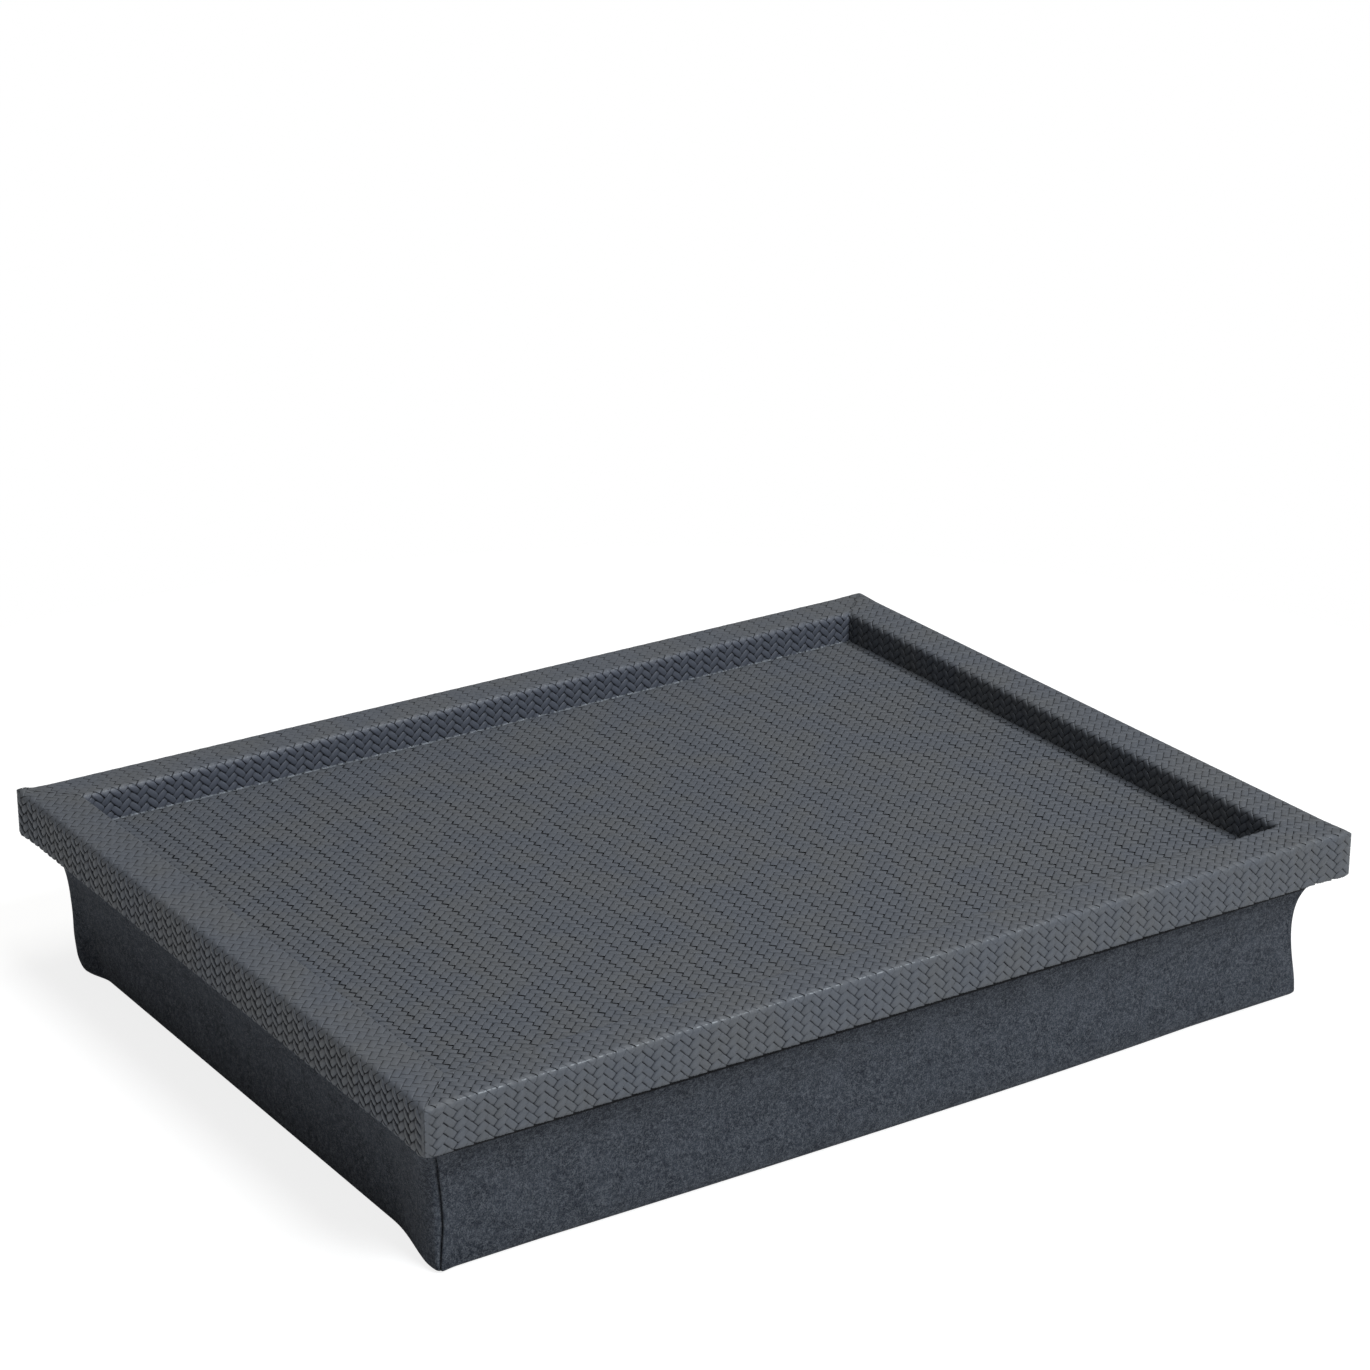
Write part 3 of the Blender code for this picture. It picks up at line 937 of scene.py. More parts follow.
@dataclass
class RailLeather:
    """The woven leather round one rail, which replaces the CAD leather of that rail.

    Attributes:
        tray: The tray's sizes.
        side: Which rail it is.
        turn_under: How far it goes in under the rim.
        radii: Its rounding under the rim, at the top outer edge and at the top inner edge.
        bare_corner: Distances from the rim's corner between which the weave fades.
        bare_edge: How wide it is smooth at the top outer edge, or 0.
        top_relief: The share of the weave's height on the rim's top.
        inner_relief: The same on the inner wall.
        inner_blue_light: How much painted bluish light tints the inner wall.
        corner_radius: The rounding of its upright corners.
        mitre_gap: The clearance at a mitre.
        lump: The end (1 or -1) at which the folded leather makes a lump, or 0.
        lump_height: How high the lump is.
        lump_reach: Distances from the corner between which it fades.
        top_zone: Depths under the rim's top between which the top's relief begins.
        inner_zone: Distances from the inner wall between which the wall's relief begins.
        side_shade: How much painted shade darkens the weave's slopes on the rail's sides.
        hang: How far it hangs below the rim.
        flare: How far its upright corners stand out, to what distance all of that is kept, and how far it reaches.
        overrun: How far the weave runs past the outline's ends.
        backing_cuts: Where the backing gets edge loops, as shares of the flare's reach.
        backing_shows: Distances from the bare corners between which the backing takes on the painted crevice shade.
    """

    tray: TrayFrame
    side: Side
    turn_under: float = 0.0090
    radii: Triple = (0.0006, 0.0015, 0.0018)
    bare_corner: Pair = (0.0010, 0.0036)
    bare_edge: float = 0.0
    top_relief: float = 0.60
    inner_relief: float = 1.0
    inner_blue_light: float = 0.0
    corner_radius: float = 0.0009
    mitre_gap: float = 0.00010
    lump: int = 0
    lump_height: float = 0.0010
    lump_reach: Pair = (0.0035, 0.0080)
    top_zone: Pair = (0.0030, 0.0008)
    inner_zone: Pair = (0.0012, 0.0002)
    side_shade: float = 0.0
    hang: float = 0.0003
    flare: Triple = (0.0009, 0.0015, 0.018)
    overrun: float = 0.004
    backing_cuts: tuple[float, ...] = (0.1, 0.3, 0.5, 0.7, 0.9, 1.1)
    backing_shows: Pair = (0.003, 0.006)

    def path(self) -> SectionPath:
        """The outline across the rail.

        Returns:
            The outline, from under the rim to the floor.
        """
        tray = self.tray
        under, outer, inner = self.radii
        bottom = tray.rim_bottom - self.hang
        return SectionPath([
            (self.turn_under, bottom, 0.0), (0.0, bottom, under), (0.0, tray.rim_top, outer),
            (tray.rim_width, tray.rim_top, inner), (tray.rim_width, tray.floor_high.z - 0.0006, 0.0)])

    def lay(self, path: SectionPath, weave: Weave, low: float, high: float) -> Laid:
        """Lay strips over a stretch of the outline, from mitre to mitre.

        Args:
            path: The outline across the rail.
            weave: The weave.
            low: Where along the outline the strips begin.
            high: Where they end.

        Returns:
            The laid strips.
        """
        half_length, _ = self.tray.half_sizes(self.side)
        width = weave.width

        def keep(middles: Rows) -> Rows:
            """Drop strips that lie past a mitre or outside the stretch."""
            places, _ = path.at(middles[:, 1])
            inside = np.abs(middles[:, 0]) < half_length - places[:, 0] + width * 1.6
            return inside & (middles[:, 1] >= low) & (middles[:, 1] < high)

        return weave.lay((-half_length - width, low), (half_length + width, high), keep)

    def build(self, weave: Weave, top_weave: Weave, material: Material) -> None:
        """Model and dress the leather.

        Args:
            weave: The weave on the rail's sides.
            top_weave: The weave on the rail's top.
            material: The leather's material.
        """
        path, label = self.path(), self.side.label
        rim_top, rim_width = self.tray.rim_top, self.tray.rim_width
        half_length, half_depth = self.tray.half_sizes(self.side)
        outer_edge = path.corner_stop(2)
        stops = [-self.overrun, outer_edge, path.corner_stop(3), path.length + self.overrun]
        points, faces, lifts = join_laid([
            self.lay(path, kind, *stretch) for kind, stretch in zip((weave, top_weave, weave), zip(stops, stops[1:]))])
        places, normals = path.at(np.clip(points[:, 1], 0.0, path.length))
        end = half_length - np.abs(points[:, 0])
        fade = rise(np.maximum(places[:, 0], end), *self.bare_corner)
        if self.bare_edge:
            distance = np.abs(points[:, 1] - outer_edge)
            fade = fade * (0.12 + 0.88 * rise(distance, self.bare_edge * 0.4, self.bare_edge))
        on_top = rise(places[:, 1], *(rim_top - depth for depth in self.top_zone))
        inside = rise(places[:, 0], *(rim_width - depth for depth in self.inner_zone))
        relief = fade * (1.0 - (1.0 - self.top_relief) * on_top) * (1.0 - (1.0 - self.inner_relief) * inside)
        height = (points[:, 2] + weave.root) * relief - weave.root
        inset, up = (places + normals * height[:, None]).T
        inset, end = self.round_corner(inset, end, height)
        if self.lump:
            swell = self.lump_height * fall(np.hypot(end, inset), *self.lump_reach)
            up = up + swell * (np.sign(points[:, 0]) == self.lump) * rise(up, rim_top - 0.009, rim_top - 0.001)
        run = np.sign(points[:, :1]) * (half_length - end)[:, None]
        flat = self.side.along * run + self.side.outwards * (half_depth - inset)[:, None]
        piece = mesh_object(f"{label}_woven_rail_leather", np.column_stack([flat, up]), faces)
        # Painted shade in the crevices, deeper on the slopes of the rail's sides and left out where the leather is
        # bare.
        put_value(piece, "crevice_shade_lift", np.maximum(lifts * (1.0 - self.side_shade * (1.0 - on_top)), 1.0 - fade))
        # Painted bluish light on the inner wall.
        put_value(piece, "painted_blue_light", inside * self.inner_blue_light)
        self.mitre(piece)
        self.join_backing(piece)
        dress(piece, material, [f"{label}_rail_leather"])

    def round_corner(self, inset: Rows, end: Rows, height: Rows) -> tuple[Rows, Rows]:
        """Draw points in to the rounding of the upright corners.

        Args:
            inset: Distances from the rim's outer face.
            end: Distances from its end.
            height: Heights over the leather's face.

        Returns:
            The new insets and ends.
        """
        radius = self.corner_radius
        off_face, off_end = radius - inset, radius - end
        far = np.hypot(off_face, off_end)
        outside = (off_face > 0) & (off_end > 0) & (far > radius + height)
        share = np.where(outside, (radius + height) / np.maximum(far, TINY), 1.0)
        return radius - off_face * share, radius - off_end * share

    def mitre(self, piece: Piece) -> None:
        """Cut both ends of the strips at the mitre planes.

        Args:
            piece: The strips.
        """
        half_length, half_depth = self.tray.half_sizes(self.side)
        along, out = self.side.along, self.side.outwards
        edit(piece)
        for way in WAYS:
            slice_off(out * half_depth + along * way * (half_length - self.mitre_gap), along * way - out)
        deselect()

    def join_backing(self, piece: Piece) -> None:
        """Add the leather's own sheet, a merged copy of the CAD leather, under the strips.

        Args:
            piece: The strips.
        """
        backing = copy_of(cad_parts[f"{self.side.label}_rail_leather"], "backing")
        half_length, _ = self.tray.half_sizes(self.side)
        edit(backing)
        for way in WAYS:
            for share in self.backing_cuts:
                slice_off(self.side.along * way * (half_length - self.flare[2] * share), self.side.along, clear=False)
        deselect()
        backing.data.shade_smooth()
        # The backing is painted with the crevices' shade, except near the corners.
        put_value(backing, "crevice_shade_lift", fall(self.to_corner(backing).max(axis=1), *self.backing_shows))
        join(piece, backing)
        points = points_of(piece)
        out = self.flare[0] * fall(np.hypot(*self.to_corner(piece).T), *self.flare[1:])
        points[:, :2] += np.sign(points[:, :2]) * out[:, None]
        put_points(piece, points)
        crease(piece, LEATHER_CREASE)

    def to_corner(self, piece: Piece) -> Rows:
        """How far each point of a piece lies from the nearest corner of the rim, along X and along Y."""
        return np.abs(np.abs(points_of(piece)[:, :2]) - self.tray.half_size)


@dataclass
class FloorLeather:
    """The woven leather on the tray's floor, whose weave gets quieter towards the back edge."""

    tray: TrayFrame
    quiet: float = 0.45
    quiet_zone: Pair = (0.055, 0.010)

    def build(self, weave: Weave, material: Material) -> None:
        """Model and dress the floor's leather.

        Args:
            weave: The weave that is laid over it.
            material: The leather's material.
        """
        low, high = self.tray.floor_low, self.tray.floor_high
        edge = np.array(high.xy)
        points, faces, lifts = weave.lay(
            low.xy, high.xy, lambda middles: (np.abs(middles) < edge + weave.width * 0.9).all(axis=1))
        kept = 1.0 - self.quiet * rise(points[:, 1], *(high.y - reach for reach in self.quiet_zone))
        points[:, 2] = high.z + np.where(points[:, 2] > 0, points[:, 2] * kept, points[:, 2])
        piece = mesh_object("woven_floor_leather", points, faces)
        put_value(piece, "crevice_shade_lift", lifts)
        edit(piece)
        for way in WAYS:
            slice_off((way * high.x, 0.0), (way, 0.0))
            slice_off((0.0, way * high.y), (0.0, way))
        deselect()
        backing = copy_of(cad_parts["floor_leather"], "backing")
        # The floor's backing shows only in the crevices, so all of it gets the painted crevice shade.
        put_value(backing, "crevice_shade_lift", np.zeros(len(backing.data.vertices)))
        join(piece, backing)
        crease(piece, LEATHER_CREASE)
        dress(piece, material, ["floor_leather"])


@dataclass(frozen=True)
class SeamTurn:
    """How the panels meet at an upright corner: the short side's panel turns round to the long side.

    Attributes:
        depth: How far it turns.
        width: How wide the turn is.
        at_foot: How much of the turn is left at the resting face.
        fullness: 0 for a slack turn and 1 for a quarter round.
        groove: How deep and how wide the seam is.
    """

    depth: float = 0.0018
    width: float = 0.0105
    at_foot: float = 1.0
    fullness: float = 0.0
    groove: Pair = (0.0022, 0.0020)

    def profile(self, share: Rows) -> Rows:
        """How far it has turned at a share of its width."""
        return (1.0 - self.fullness) * share ** 2 + self.fullness * quarter_round(share)

    def strength(self, height: Rows) -> Rows:
        """How much of the turn there is at a height."""
        return self.at_foot + (1.0 - self.at_foot) * rise(height, 0.0004, 0.020)

    def slack(self, height: Rows) -> Rows:
        """How much of the turn is missing at a height."""
        return 1.0 - self.strength(height)


@dataclass
class Cushion:
    """The suede cushion under the tray.

    Attributes:
        tray: The tray's sizes.
        stations: (height, inset) of the cover from the hem down.
        belly: The inset of its fullest part near the foot.
        corner_radius: The rounding of its upright corners.
        draw_in: How far a short side is drawn in at its middle.
        ear_heights: Heights at which the left corners are given.
        ear: How far the front left corner stands out there.
        back_ear: How far the back left corner stands out there.
        ear_reach: How far along the side each of the two reaches.
        crown: How far a long side stands out.
        crown_place: Where along X it stands out most.
        crown_reach: How far that reaches to the left and to the right.
        back_heights: Heights at which the back's slant is given.
        back_slant: How far the back comes forward there.
        toe: How far the front left corner's foot stands forward.
        toe_reach: How far that reaches up, back and to the right.
        low_part: Heights between which what shapes the foot fades.
        face: The size of a face for the simulation.
        free: Heights between which the filling presses on the sides.
        pressure_frames: How long it presses.
        cap: How far it may move a point.
        still: How far a corner's stillness reaches, and where the filling's full effect begins from there.
        cloth: The thickness of the suede.
        fold_under: The inset at which the side panels end underneath.
        hem: How far the suede goes in over the board.
        turn: How the panels meet at an upright corner.
        near_turn: The same at the front left corner.
        slack_width: How wide a long side gives way where the short side's turn is slack.
        seam_cuts: Distances from a seam at which a panel gets an edge loop.
        bag_gap: The inner bag's clearance under and over it.
        squeeze: How far the bag keeps in from the corners.
        squeeze_reach: Distances from a corner between which that fades.
    """

    tray: TrayFrame
    stations: tuple[Pair, ...] = (
        (0.0587, 0.0104), (0.0581, 0.0093), (0.0560, 0.0090), (0.0534, 0.0091), (0.0522, 0.0099),
        (0.0502, 0.0109), (0.0464, 0.0123), (0.0430, 0.0130), (0.0398, 0.0135), (0.0339, 0.0139),
        (0.0290, 0.0139), (0.0240, 0.0137), (0.0167, 0.0131), (0.0109, 0.0124), (0.0065, 0.0120),
        (0.0034, 0.0119), (0.0014, 0.0121), (0.0004, 0.0127), (0.0, 0.0142))
    belly: float = 0.0119
    corner_radius: float = 0.0015
    draw_in: float = 0.0038
    ear_heights: tuple[float, ...] = (0.0, 0.006, 0.014, 0.028, 0.040, 0.050, 0.053)
    ear: tuple[float, ...] = (0.0026, 0.0026, 0.0038, 0.0050, 0.0059, 0.0054, 0.0032)
    back_ear: tuple[float, ...] = (0.0018, 0.0026, 0.0021, 0.0016, 0.0009, 0.0004, 0.0)
    ear_reach: Pair = (0.044, 0.022)
    crown: float = 0.0023
    crown_place: float = 0.030
    crown_reach: Pair = (0.200, 0.125)
    back_heights: tuple[float, ...] = (0.0, 0.006, 0.015, 0.030, 0.044, 0.053)
    back_slant: tuple[float, ...] = (0.0190, 0.0140, 0.0066, 0.0008, -0.0028, 0.0)
    toe: float = 0.0012
    toe_reach: Triple = (0.008, 0.012, 0.010)
    low_part: Pair = (0.004, 0.050)
    face: float = 0.0055
    free: Pair = (0.0018, 0.0522)
    pressure_frames: int = 20
    cap: float = 0.0012
    still: Pair = (0.014, 0.030)
    cloth: float = 0.0012
    fold_under: float = 0.0165
    hem: float = 0.0130
    turn: SeamTurn = SeamTurn()
    near_turn: SeamTurn = SeamTurn(depth=0.0042, width=0.0075, at_foot=0.4, fullness=0.7, groove=(0.0023, 0.0012))
    slack_width: float = 0.014
    seam_cuts: tuple[float, ...] = (0.0003, 0.0006, 0.0011, 0.0018, 0.0028, 0.0042, 0.0060)
    bag_gap: float = 0.0004
    squeeze: float = 0.0050
    squeeze_reach: Pair = (0.010, 0.030)

    def body(self) -> Piece:
        """Model the stuffed form, then let the filling press on it.

        Returns:
            The closed form of the cover's outside.
        """
        half_size, top = self.tray.half_size, self.stations[0][0]
        form = add_block("cube", (*(2 * half_size), top), location=(0.0, 0.0, top / 2))
        form.name = "cushion_form"
        edit(form)
        choose(form, "EDGE", lambda edge: abs(span(edge).z) > abs(span(edge).x) + abs(span(edge).y))
        bpy.ops.mesh.bevel(offset=self.corner_radius, segments=2, affect="EDGES")
        for reach, way in zip(half_size - self.corner_radius, np.eye(2)):
            count = round(2 * reach / self.face)
            for number in range(1, count):
                slice_off(way * (-reach + 2 * reach * number / count), way, clear=False)
        for height, _ in self.stations[1:-1]:
            slice_off((0.0, 0.0, height), (0.0, 0.0, 1.0), clear=False)
        for height, inset in self.stations:
            choose(form, "VERT", lambda vertex: abs(vertex.co.z - height) < 1e-5)
            bpy.ops.transform.resize(value=(*(1 - inset / half_size), 1.0))
        deselect()
        self.press(form)
        return form

    def settle(self, piece: Piece) -> None:
        """Draw a piece of the cushion to the shape that its weight and its tray give it.

        Args:
            piece: The piece.
        """
        points = points_of(piece)
        x, y, z = points.T.copy()
        reach_x, reach_y = self.tray.half_size - self.belly
        from_left, from_front, from_back = reach_x + x, reach_y + y, reach_y - y
        low = fall(z, *self.low_part)
        shift = self.draw_in * low * rise(np.minimum(from_front, 2.2 * from_back), 0.0, self.ear_reach[0])
        ear = np.interp(z, self.ear_heights, self.ear) * fall(from_front, 0.0, self.ear_reach[0])
        ear += np.interp(z, self.ear_heights, self.back_ear) * fall(from_back, 0.0, self.ear_reach[1])
        points[:, 0] -= (shift - np.where(x < 0, ear, 0.0)) * (x / reach_x) ** 3
        foot = [fall(far, 0.0, reach) for far, reach in zip((z, from_front, from_left), self.toe_reach)]
        points[:, 1] -= self.toe * (foot[0] * foot[1] * foot[2])
        from_peak = x - self.crown_place
        middle = 1.0 - np.minimum(np.abs(from_peak) / np.where(from_peak < 0, *self.crown_reach), 1.0) ** 2
        points[:, 1] += self.crown * middle * low * (y / reach_y) ** 3
        points[:, 1] -= np.interp(z, self.back_heights, self.back_slant) * rise(y, 0.0, self.tray.half_y)
        put_points(piece, points)

    def press(self, form: Piece) -> None:
        """Swell the free sides with a cloth simulation, then ease the faces.

        Args:
            form: The closed form.
        """
        start = points_of(form)
        held = form.vertex_groups.new(name="held")
        sides = (start[:, 2] > self.free[0]) & (start[:, 2] < self.free[1])
        held.add(np.nonzero(~sides)[0].tolist(), 1.0, "REPLACE")
        take(form)
        filling = form.modifiers.new("filling", "CLOTH")
        assign(filling.settings, quality=4, mass=0.25, tension_stiffness=12.0, compression_stiffness=12.0,
               bending_stiffness=0.4, use_pressure=True, uniform_pressure_force=4.0, vertex_group_mass=held.name)
        filling.settings.effector_weights.gravity = 0.0
        filling.collision_settings.use_collision = False
        assign(filling.point_cache, frame_start=1, frame_end=self.pressure_frames)
        for number in range(self.pressure_frames):
            bpy.context.scene.frame_set(number + 1)
        moved = points_of(form.evaluated_get(bpy.context.evaluated_depsgraph_get())) - start
        form.modifiers.remove(filling)
        bpy.context.scene.frame_set(1)
        far = np.linalg.norm(moved, axis=1, keepdims=True)
        to_corner = (self.tray.half_size - self.still[0] - np.abs(start[:, :2])).max(axis=1)
        share = np.where(far > TINY, self.cap * np.tanh(far / self.cap) / np.maximum(far, TINY), 0.0)
        points = start + moved * (share * rise(to_corner, 0.0, self.still[1])[:, None])
        points[:, 2] = np.maximum(points[:, 2], 0.0)
        put_points(form, points)
        LOG.info("cushion pressed: furthest point %.1f mm, kept to %.1f mm", far.max() * 1000, self.cap * 1000)

    def fine(self, form: Piece) -> None:
        """Subdivide the form once and keep its resting face flat.

        Args:
            form: The closed form.
        """
        modify(form, "SUBSURF", levels=1, render_levels=1)
        points = points_of(form)
        points[:, 2] = np.clip(points[:, 2], 0.0, self.stations[0][0])
        points[points[:, 2] < 0.0001, 2] = 0.0
        put_points(form, points)

    def side_panel(self, form: Piece, side: Side) -> Piece:
        """Cut one side panel out of the form and turn its edges into the seams.

        Args:
            form: The closed form.
            side: Which side it is.

        Returns:
            The panel as an open sheet.
        """
        half_length, half_depth = self.tray.half_sizes(side)
        along, out = side.along, side.outwards
        short = side in (Side.LEFT, Side.RIGHT)
        fold = half_depth - self.fold_under
        panel = copy_of(form, f"{side.label}_suede")
        edit(panel)
        slice_off(out * fold, out, clear=False)
        choose(panel, "FACE", lambda face: self.is_under(face.calc_center_median(), out, fold))
        bpy.ops.mesh.delete(type="FACE")
        bpy.ops.mesh.select_mode(type="VERT")
        slice_off(out * (half_depth - self.tray.cover_top_inset - self.hem), -out)
        for way in WAYS:
            near = bool((along * way + out < 0).all())
            turn = self.near_turn if near else self.turn
            end = half_length if short else half_length - turn.depth
            seam = point, normal = out * half_depth + along * way * end, (along * way - out) / math.sqrt(2)
            slice_off(*seam)
            for distance in self.seam_cuts:
                slice_off(point - normal * distance, normal, clear=False)
            deselect()
            groove, groove_width = turn.groove
            inwards = -(along * way + out) / math.sqrt(2)
            self.roll(panel, seam, inwards * groove, groove_width, quarter_round, self.groove_strength)
            if short:
                self.roll(panel, seam, -out * turn.depth, turn.width, turn.profile, turn.strength)
            else:
                self.roll(panel, seam, along * way * turn.depth, self.slack_width, np.square, turn.slack)
            edit(panel)
        deselect()
        self.settle(panel)
        return panel

    def is_under(self, place: Vector, out: Rows, reach: float) -> bool:
        """Whether a place is on the resting face and less far out than a reach."""
        return place.z < 0.0002 and place.x * out[0] + place.y * out[1] < reach

    def groove_strength(self, height: Rows) -> Rows:
        """How much of a seam's groove there is at a height."""
        return rise(self.stations[0][0] - height, 0.0002, 0.004) * (0.35 + 0.65 * rise(height, 0.0004, 0.006))

    def roll(self, panel: Piece, seam: tuple[Rows, Rows], way: Rows, width: float, profile: Profile,
             strength: Profile) -> None:
        """Turn the edge of a panel.

        Args:
            panel: The panel.
            seam: A point on the plane of its seam and the plane's normal, seen from above.
            way: The way and how far the edge turns.
            width: How wide the turn is.
            profile: How far it has turned at a share of its width.
            strength: How much of the turn there is at a height.
        """
        point, normal = seam
        points = points_of(panel)
        share = np.clip(1.0 + (points[:, :2] - point) @ normal / width, 0.0, 1.0)
        points[:, :2] += way * (profile(share) * strength(points[:, 2]))[:, None]
        put_points(panel, points)

    def bottom_panel(self, form: Piece) -> Piece:
        """Cut the bottom panel out of the form.

        Args:
            form: The closed form.

        Returns:
            The panel as an open sheet.
        """
        panel = copy_of(form, "bottom_suede")
        edit(panel)
        slice_off((0.0, 0.0, 0.001), (0.0, 0.0, 1.0))
        for side in Side:
            _, half_depth = self.tray.half_sizes(side)
            slice_off(side.outwards * (half_depth - self.fold_under - 0.0003), side.outwards)
        deselect()
        self.settle(panel)
        return panel

    def finish(self, panel: Piece, suede: Material, replaced: str) -> Pair:
        """Thicken a panel inwards and dress it.

        Args:
            panel: The open sheet.
            suede: Its material.
            replaced: The CAD node that it stands for.

        Returns:
            The rectangle that it was cut from, by its length and its area.
        """
        length = float(np.ptp(points_of(panel)[:, :2], axis=0).max())
        area = sum(face.area for face in panel.data.polygons)
        modify(panel, "SOLIDIFY", thickness=self.cloth, offset=-1.0)
        panel.data.shade_smooth()
        crease(panel, SUEDE_CREASE)
        dress(panel, suede, [replaced])
        return area / length, length

    def inner_bag(self, form: Piece, material: Material) -> None:
        """Model the cotton bag inside the cover, full of beads, from the same form.

        Args:
            form: The closed form.
            material: The bag's material.
        """
        board_low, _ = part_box("cushion_board")
        bag = copy_of(form, "bead_filled_bag")
        points = points_of(bag) - rows_of(bag.data.vertex_normals, "vector") * (self.cloth + 0.0006)
        points[:, 2] = np.clip(points[:, 2], self.cloth + self.bag_gap, board_low.z - self.bag_gap)
        to_corner = np.abs(np.abs(points[:, :2]) - self.tray.half_size).max(axis=1)
        points[:, :2] -= np.sign(points[:, :2]) * (self.squeeze * fall(to_corner, *self.squeeze_reach))[:, None]
        put_points(bag, points)
        self.settle(bag)
        merge(bag, 0.0003)
        bag.data.shade_smooth()
        dress(bag, material, ["liner_tub", "liner_lid", "bead_filling"])

    def build(self, suede: Material, cotton: Material) -> None:
        """Model and dress the whole cushion.

        Args:
            suede: The cover's material.
            cotton: The inner bag's material.
        """
        form = self.body()
        self.fine(form)
        for side in Side:
            panel = self.side_panel(form, side)
            flat = self.finish(panel, suede, f"{side.label}_suede_panel")
        bottom = self.bottom_panel(form)
        flat = self.finish(bottom, suede, "bottom_suede_panel")
        self.inner_bag(form, cotton)
        bpy.data.objects.remove(form, do_unlink=True)


@dataclass
class Carpentry:
    """The hidden wood and screws, found by how their names end or begin, which keep their CAD meshes."""

    wooden: tuple[str, ...] = ("_rail", "_board", "_mitre_key")
    screws: str = "board_screw"

    def build(self, wood: Material, steel: Material) -> None:
        """Give the wood and the screws their materials.

        Args:
            wood: The plywood.
            steel: The screws' material.
        """
        for name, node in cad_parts.items():
            if name.endswith(self.wooden):
                self.paint(node, wood)
            elif name.startswith(self.screws):
                self.paint(node, steel)

    def paint(self, node: Piece, material: Material) -> None:
        """Put one material in all of a node's slots.

        Args:
            node: The node.
            material: The material.
        """
        if not node.material_slots:
            node.data.materials.append(material)
        for slot in node.material_slots:
            slot.material = material
        LOG.info("%s: %s", node.name, material.name)


@dataclass
class Studio:
    """Camera, lights, floor and world.

    The camera turns by its tilt, roll and heading in degrees. Each lamp has a name, a place, a size, a power
    and a colour, and faces the target. The ambient light has a colour and a strength.
    """

    camera_place: Triple = (-0.8383, -1.2670, 0.7386)
    camera_turn: Triple = (68.430, -0.0465, -33.6216)
    focal_pixels: float = 3789.3
    lamps: tuple[tuple[str, Triple, float, float, Colour], ...] = (
        ("key", (0.55, -2.33, 2.68), 1.4, 88.0, (0.925, 0.968, 1.0)),
        ("overhead", (0.65, 0.15, 2.60), 1.6, 29.0, (1.0, 0.990, 0.965)))
    target: Triple = (0.0, 0.0, 0.05)
    ambient: tuple[Colour, float] = ((1.0, 0.985, 0.955), 0.160)

    def build(self, floor_material: Material) -> None:
        """Set the stage.

        Args:
            floor_material: The material of the floor.
        """
        self.camera()
        self.lights()
        self.world()
        self.floor(floor_material)
        bpy.context.scene.view_settings.view_transform = "Standard"

    def camera(self) -> None:
        """Add the camera where the photographer's stood."""
        deselect()
        turn = tuple(math.radians(angle) for angle in self.camera_turn)
        bpy.ops.object.camera_add(location=self.camera_place, rotation=turn)
        camera = bpy.context.object
        camera.name = "photo_camera"
        assign(camera.data, sensor_width=SENSOR_WIDTH, sensor_fit="HORIZONTAL",
               lens=self.focal_pixels / PHOTO_PIXELS * SENSOR_WIDTH, clip_end=50.0)
        bpy.context.scene.camera = camera

    def lights(self) -> None:
        """Add the soft lights."""
        for name, place, size, power, colour in self.lamps:
            deselect()
            way = Vector(self.target) - Vector(place)
            bpy.ops.object.light_add(type="AREA", location=place, rotation=way.to_track_quat("-Z", "Y").to_euler())
            lamp = bpy.context.object
            lamp.name = name + "_light"
            assign(lamp.data, size=size, energy=power, color=colour)

    def world(self) -> None:
        """Light from all round, and a white backdrop for the camera and for what is seen through glass."""
        world = bpy.data.worlds.new("studio_world")
        bpy.context.scene.world = world
        board = ShaderBoard(world)
        colour, strength = self.ambient
        direct, through = (board.node("ShaderNodeLightPath", output=f"Is {kind} Ray")
                           for kind in ("Camera", "Transmission"))
        soft = board.node("ShaderNodeBackground", {"Color": colour, "Strength": strength})
        white = board.node("ShaderNodeBackground", {"Color": (1.0, 1.0, 1.0)})
        mixed = board.node("ShaderNodeMixShader", {0: direct.higher_of(through), 1: soft, 2: white})
        board.node("ShaderNodeOutputWorld", {"Surface": mixed})

    def floor(self, material: Material) -> None:
        """Add the pale floor.

        Args:
            material: Its material.
        """
        plane = add_block("plane", (12.0, 12.0, 1.0), location=(0.0, 0.0, -0.0002))
        plane.name = "pale_floor"
        plane.data.materials.append(material)


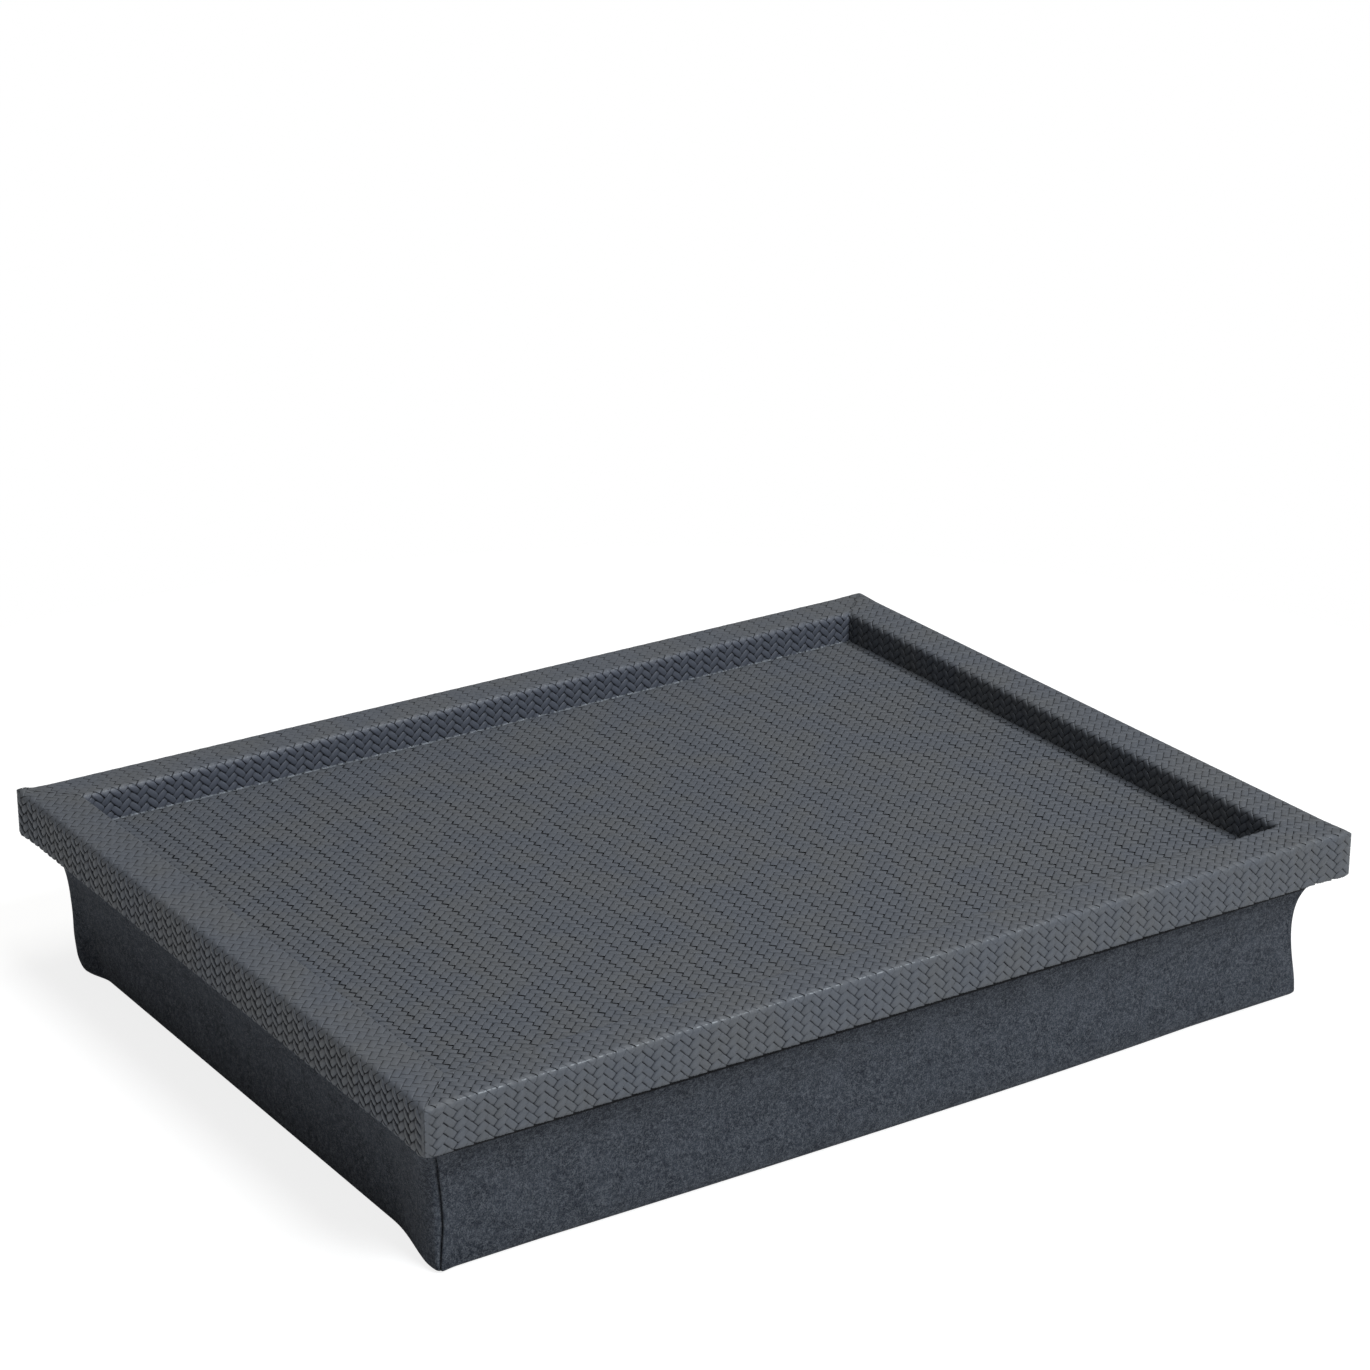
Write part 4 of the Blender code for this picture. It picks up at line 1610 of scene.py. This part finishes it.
def main() -> None:
    """Build the scene: studio, leather, cushion and the hidden carpentry."""
    logging.basicConfig(level=logging.INFO, format="%(name)s: %(message)s")
    tray = TrayFrame.read()
    Studio().build(PaleFloor().material())
    back_wall, left_wall = tray.half_y - tray.rim_width, tray.rim_width - tray.half_x
    rim_top, floor_top = tray.rim_top, tray.floor_high.z
    # The leather's painted highlights: the left rim's inner top edge, the front top edge, the back rim's inner top
    # edge and the foot of the back inner wall.
    leather = WovenLeather((
        HighlightLine(left_wall - 0.00050, rim_top - 0.00015, strength=0.10, breaks=0.2, weak=0.9, axis=0),
        HighlightLine(-tray.half_y + 0.00016, rim_top - 0.00010, reach=0.00036, strength=0.46, breaks=0.46),
        HighlightLine(back_wall + 0.00030, rim_top - 0.00035, reach=0.0005, strength=0.18, weak=0.4),
        HighlightLine(back_wall - 0.00030, floor_top + 0.00045, reach=0.0007, strength=0.46, breaks=0.38, weak=0.6))
    ).material()
    brushed, rounded = Weave(tuck=-0.00014, crown=0.00060, pillows=BRUSHED), Weave(crown=0.00060, pillows=ROUNDED)
    deep = Weave(crown=0.00078, crevice=0.00026, pillows=ROUNDED)
    top = Weave(tuck=-0.00024, crown=0.00084, crowding=2.4, pillows=LAID_FLAT)
    flush = Weave(tuck=-0.00016, crown=0.00060, crowding=1.6, pillows=FLUSH)
    floor = Weave(tuck=-0.00034, crown=0.00072, cuts=(3, 3), crowding=2.5, pillows=LAID_FLAT, across_stretch=1.05,
                  play=0.00012, unevenness=0.20)
    RailLeather(tray, Side.FRONT, top_relief=0.92).build(brushed, top, leather)
    RailLeather(tray, Side.RIGHT, bare_edge=0.0016).build(Weave(), flush, leather)
    RailLeather(tray, Side.BACK, bare_edge=0.0018, lump=1, top_relief=0.5, inner_relief=0.9,
                inner_blue_light=1.0).build(rounded, top, leather)
    RailLeather(tray, Side.LEFT, bare_edge=0.0018, lump=-1, top_relief=0.5, side_shade=0.32).build(
        deep, flush, leather)
    FloorLeather(tray).build(floor, leather)
    Cushion(tray).build(Suede().material(), Cotton().material())
    Carpentry().build(Plywood().material(), ZincSteel().material())


if __name__ == "__main__":
    main()
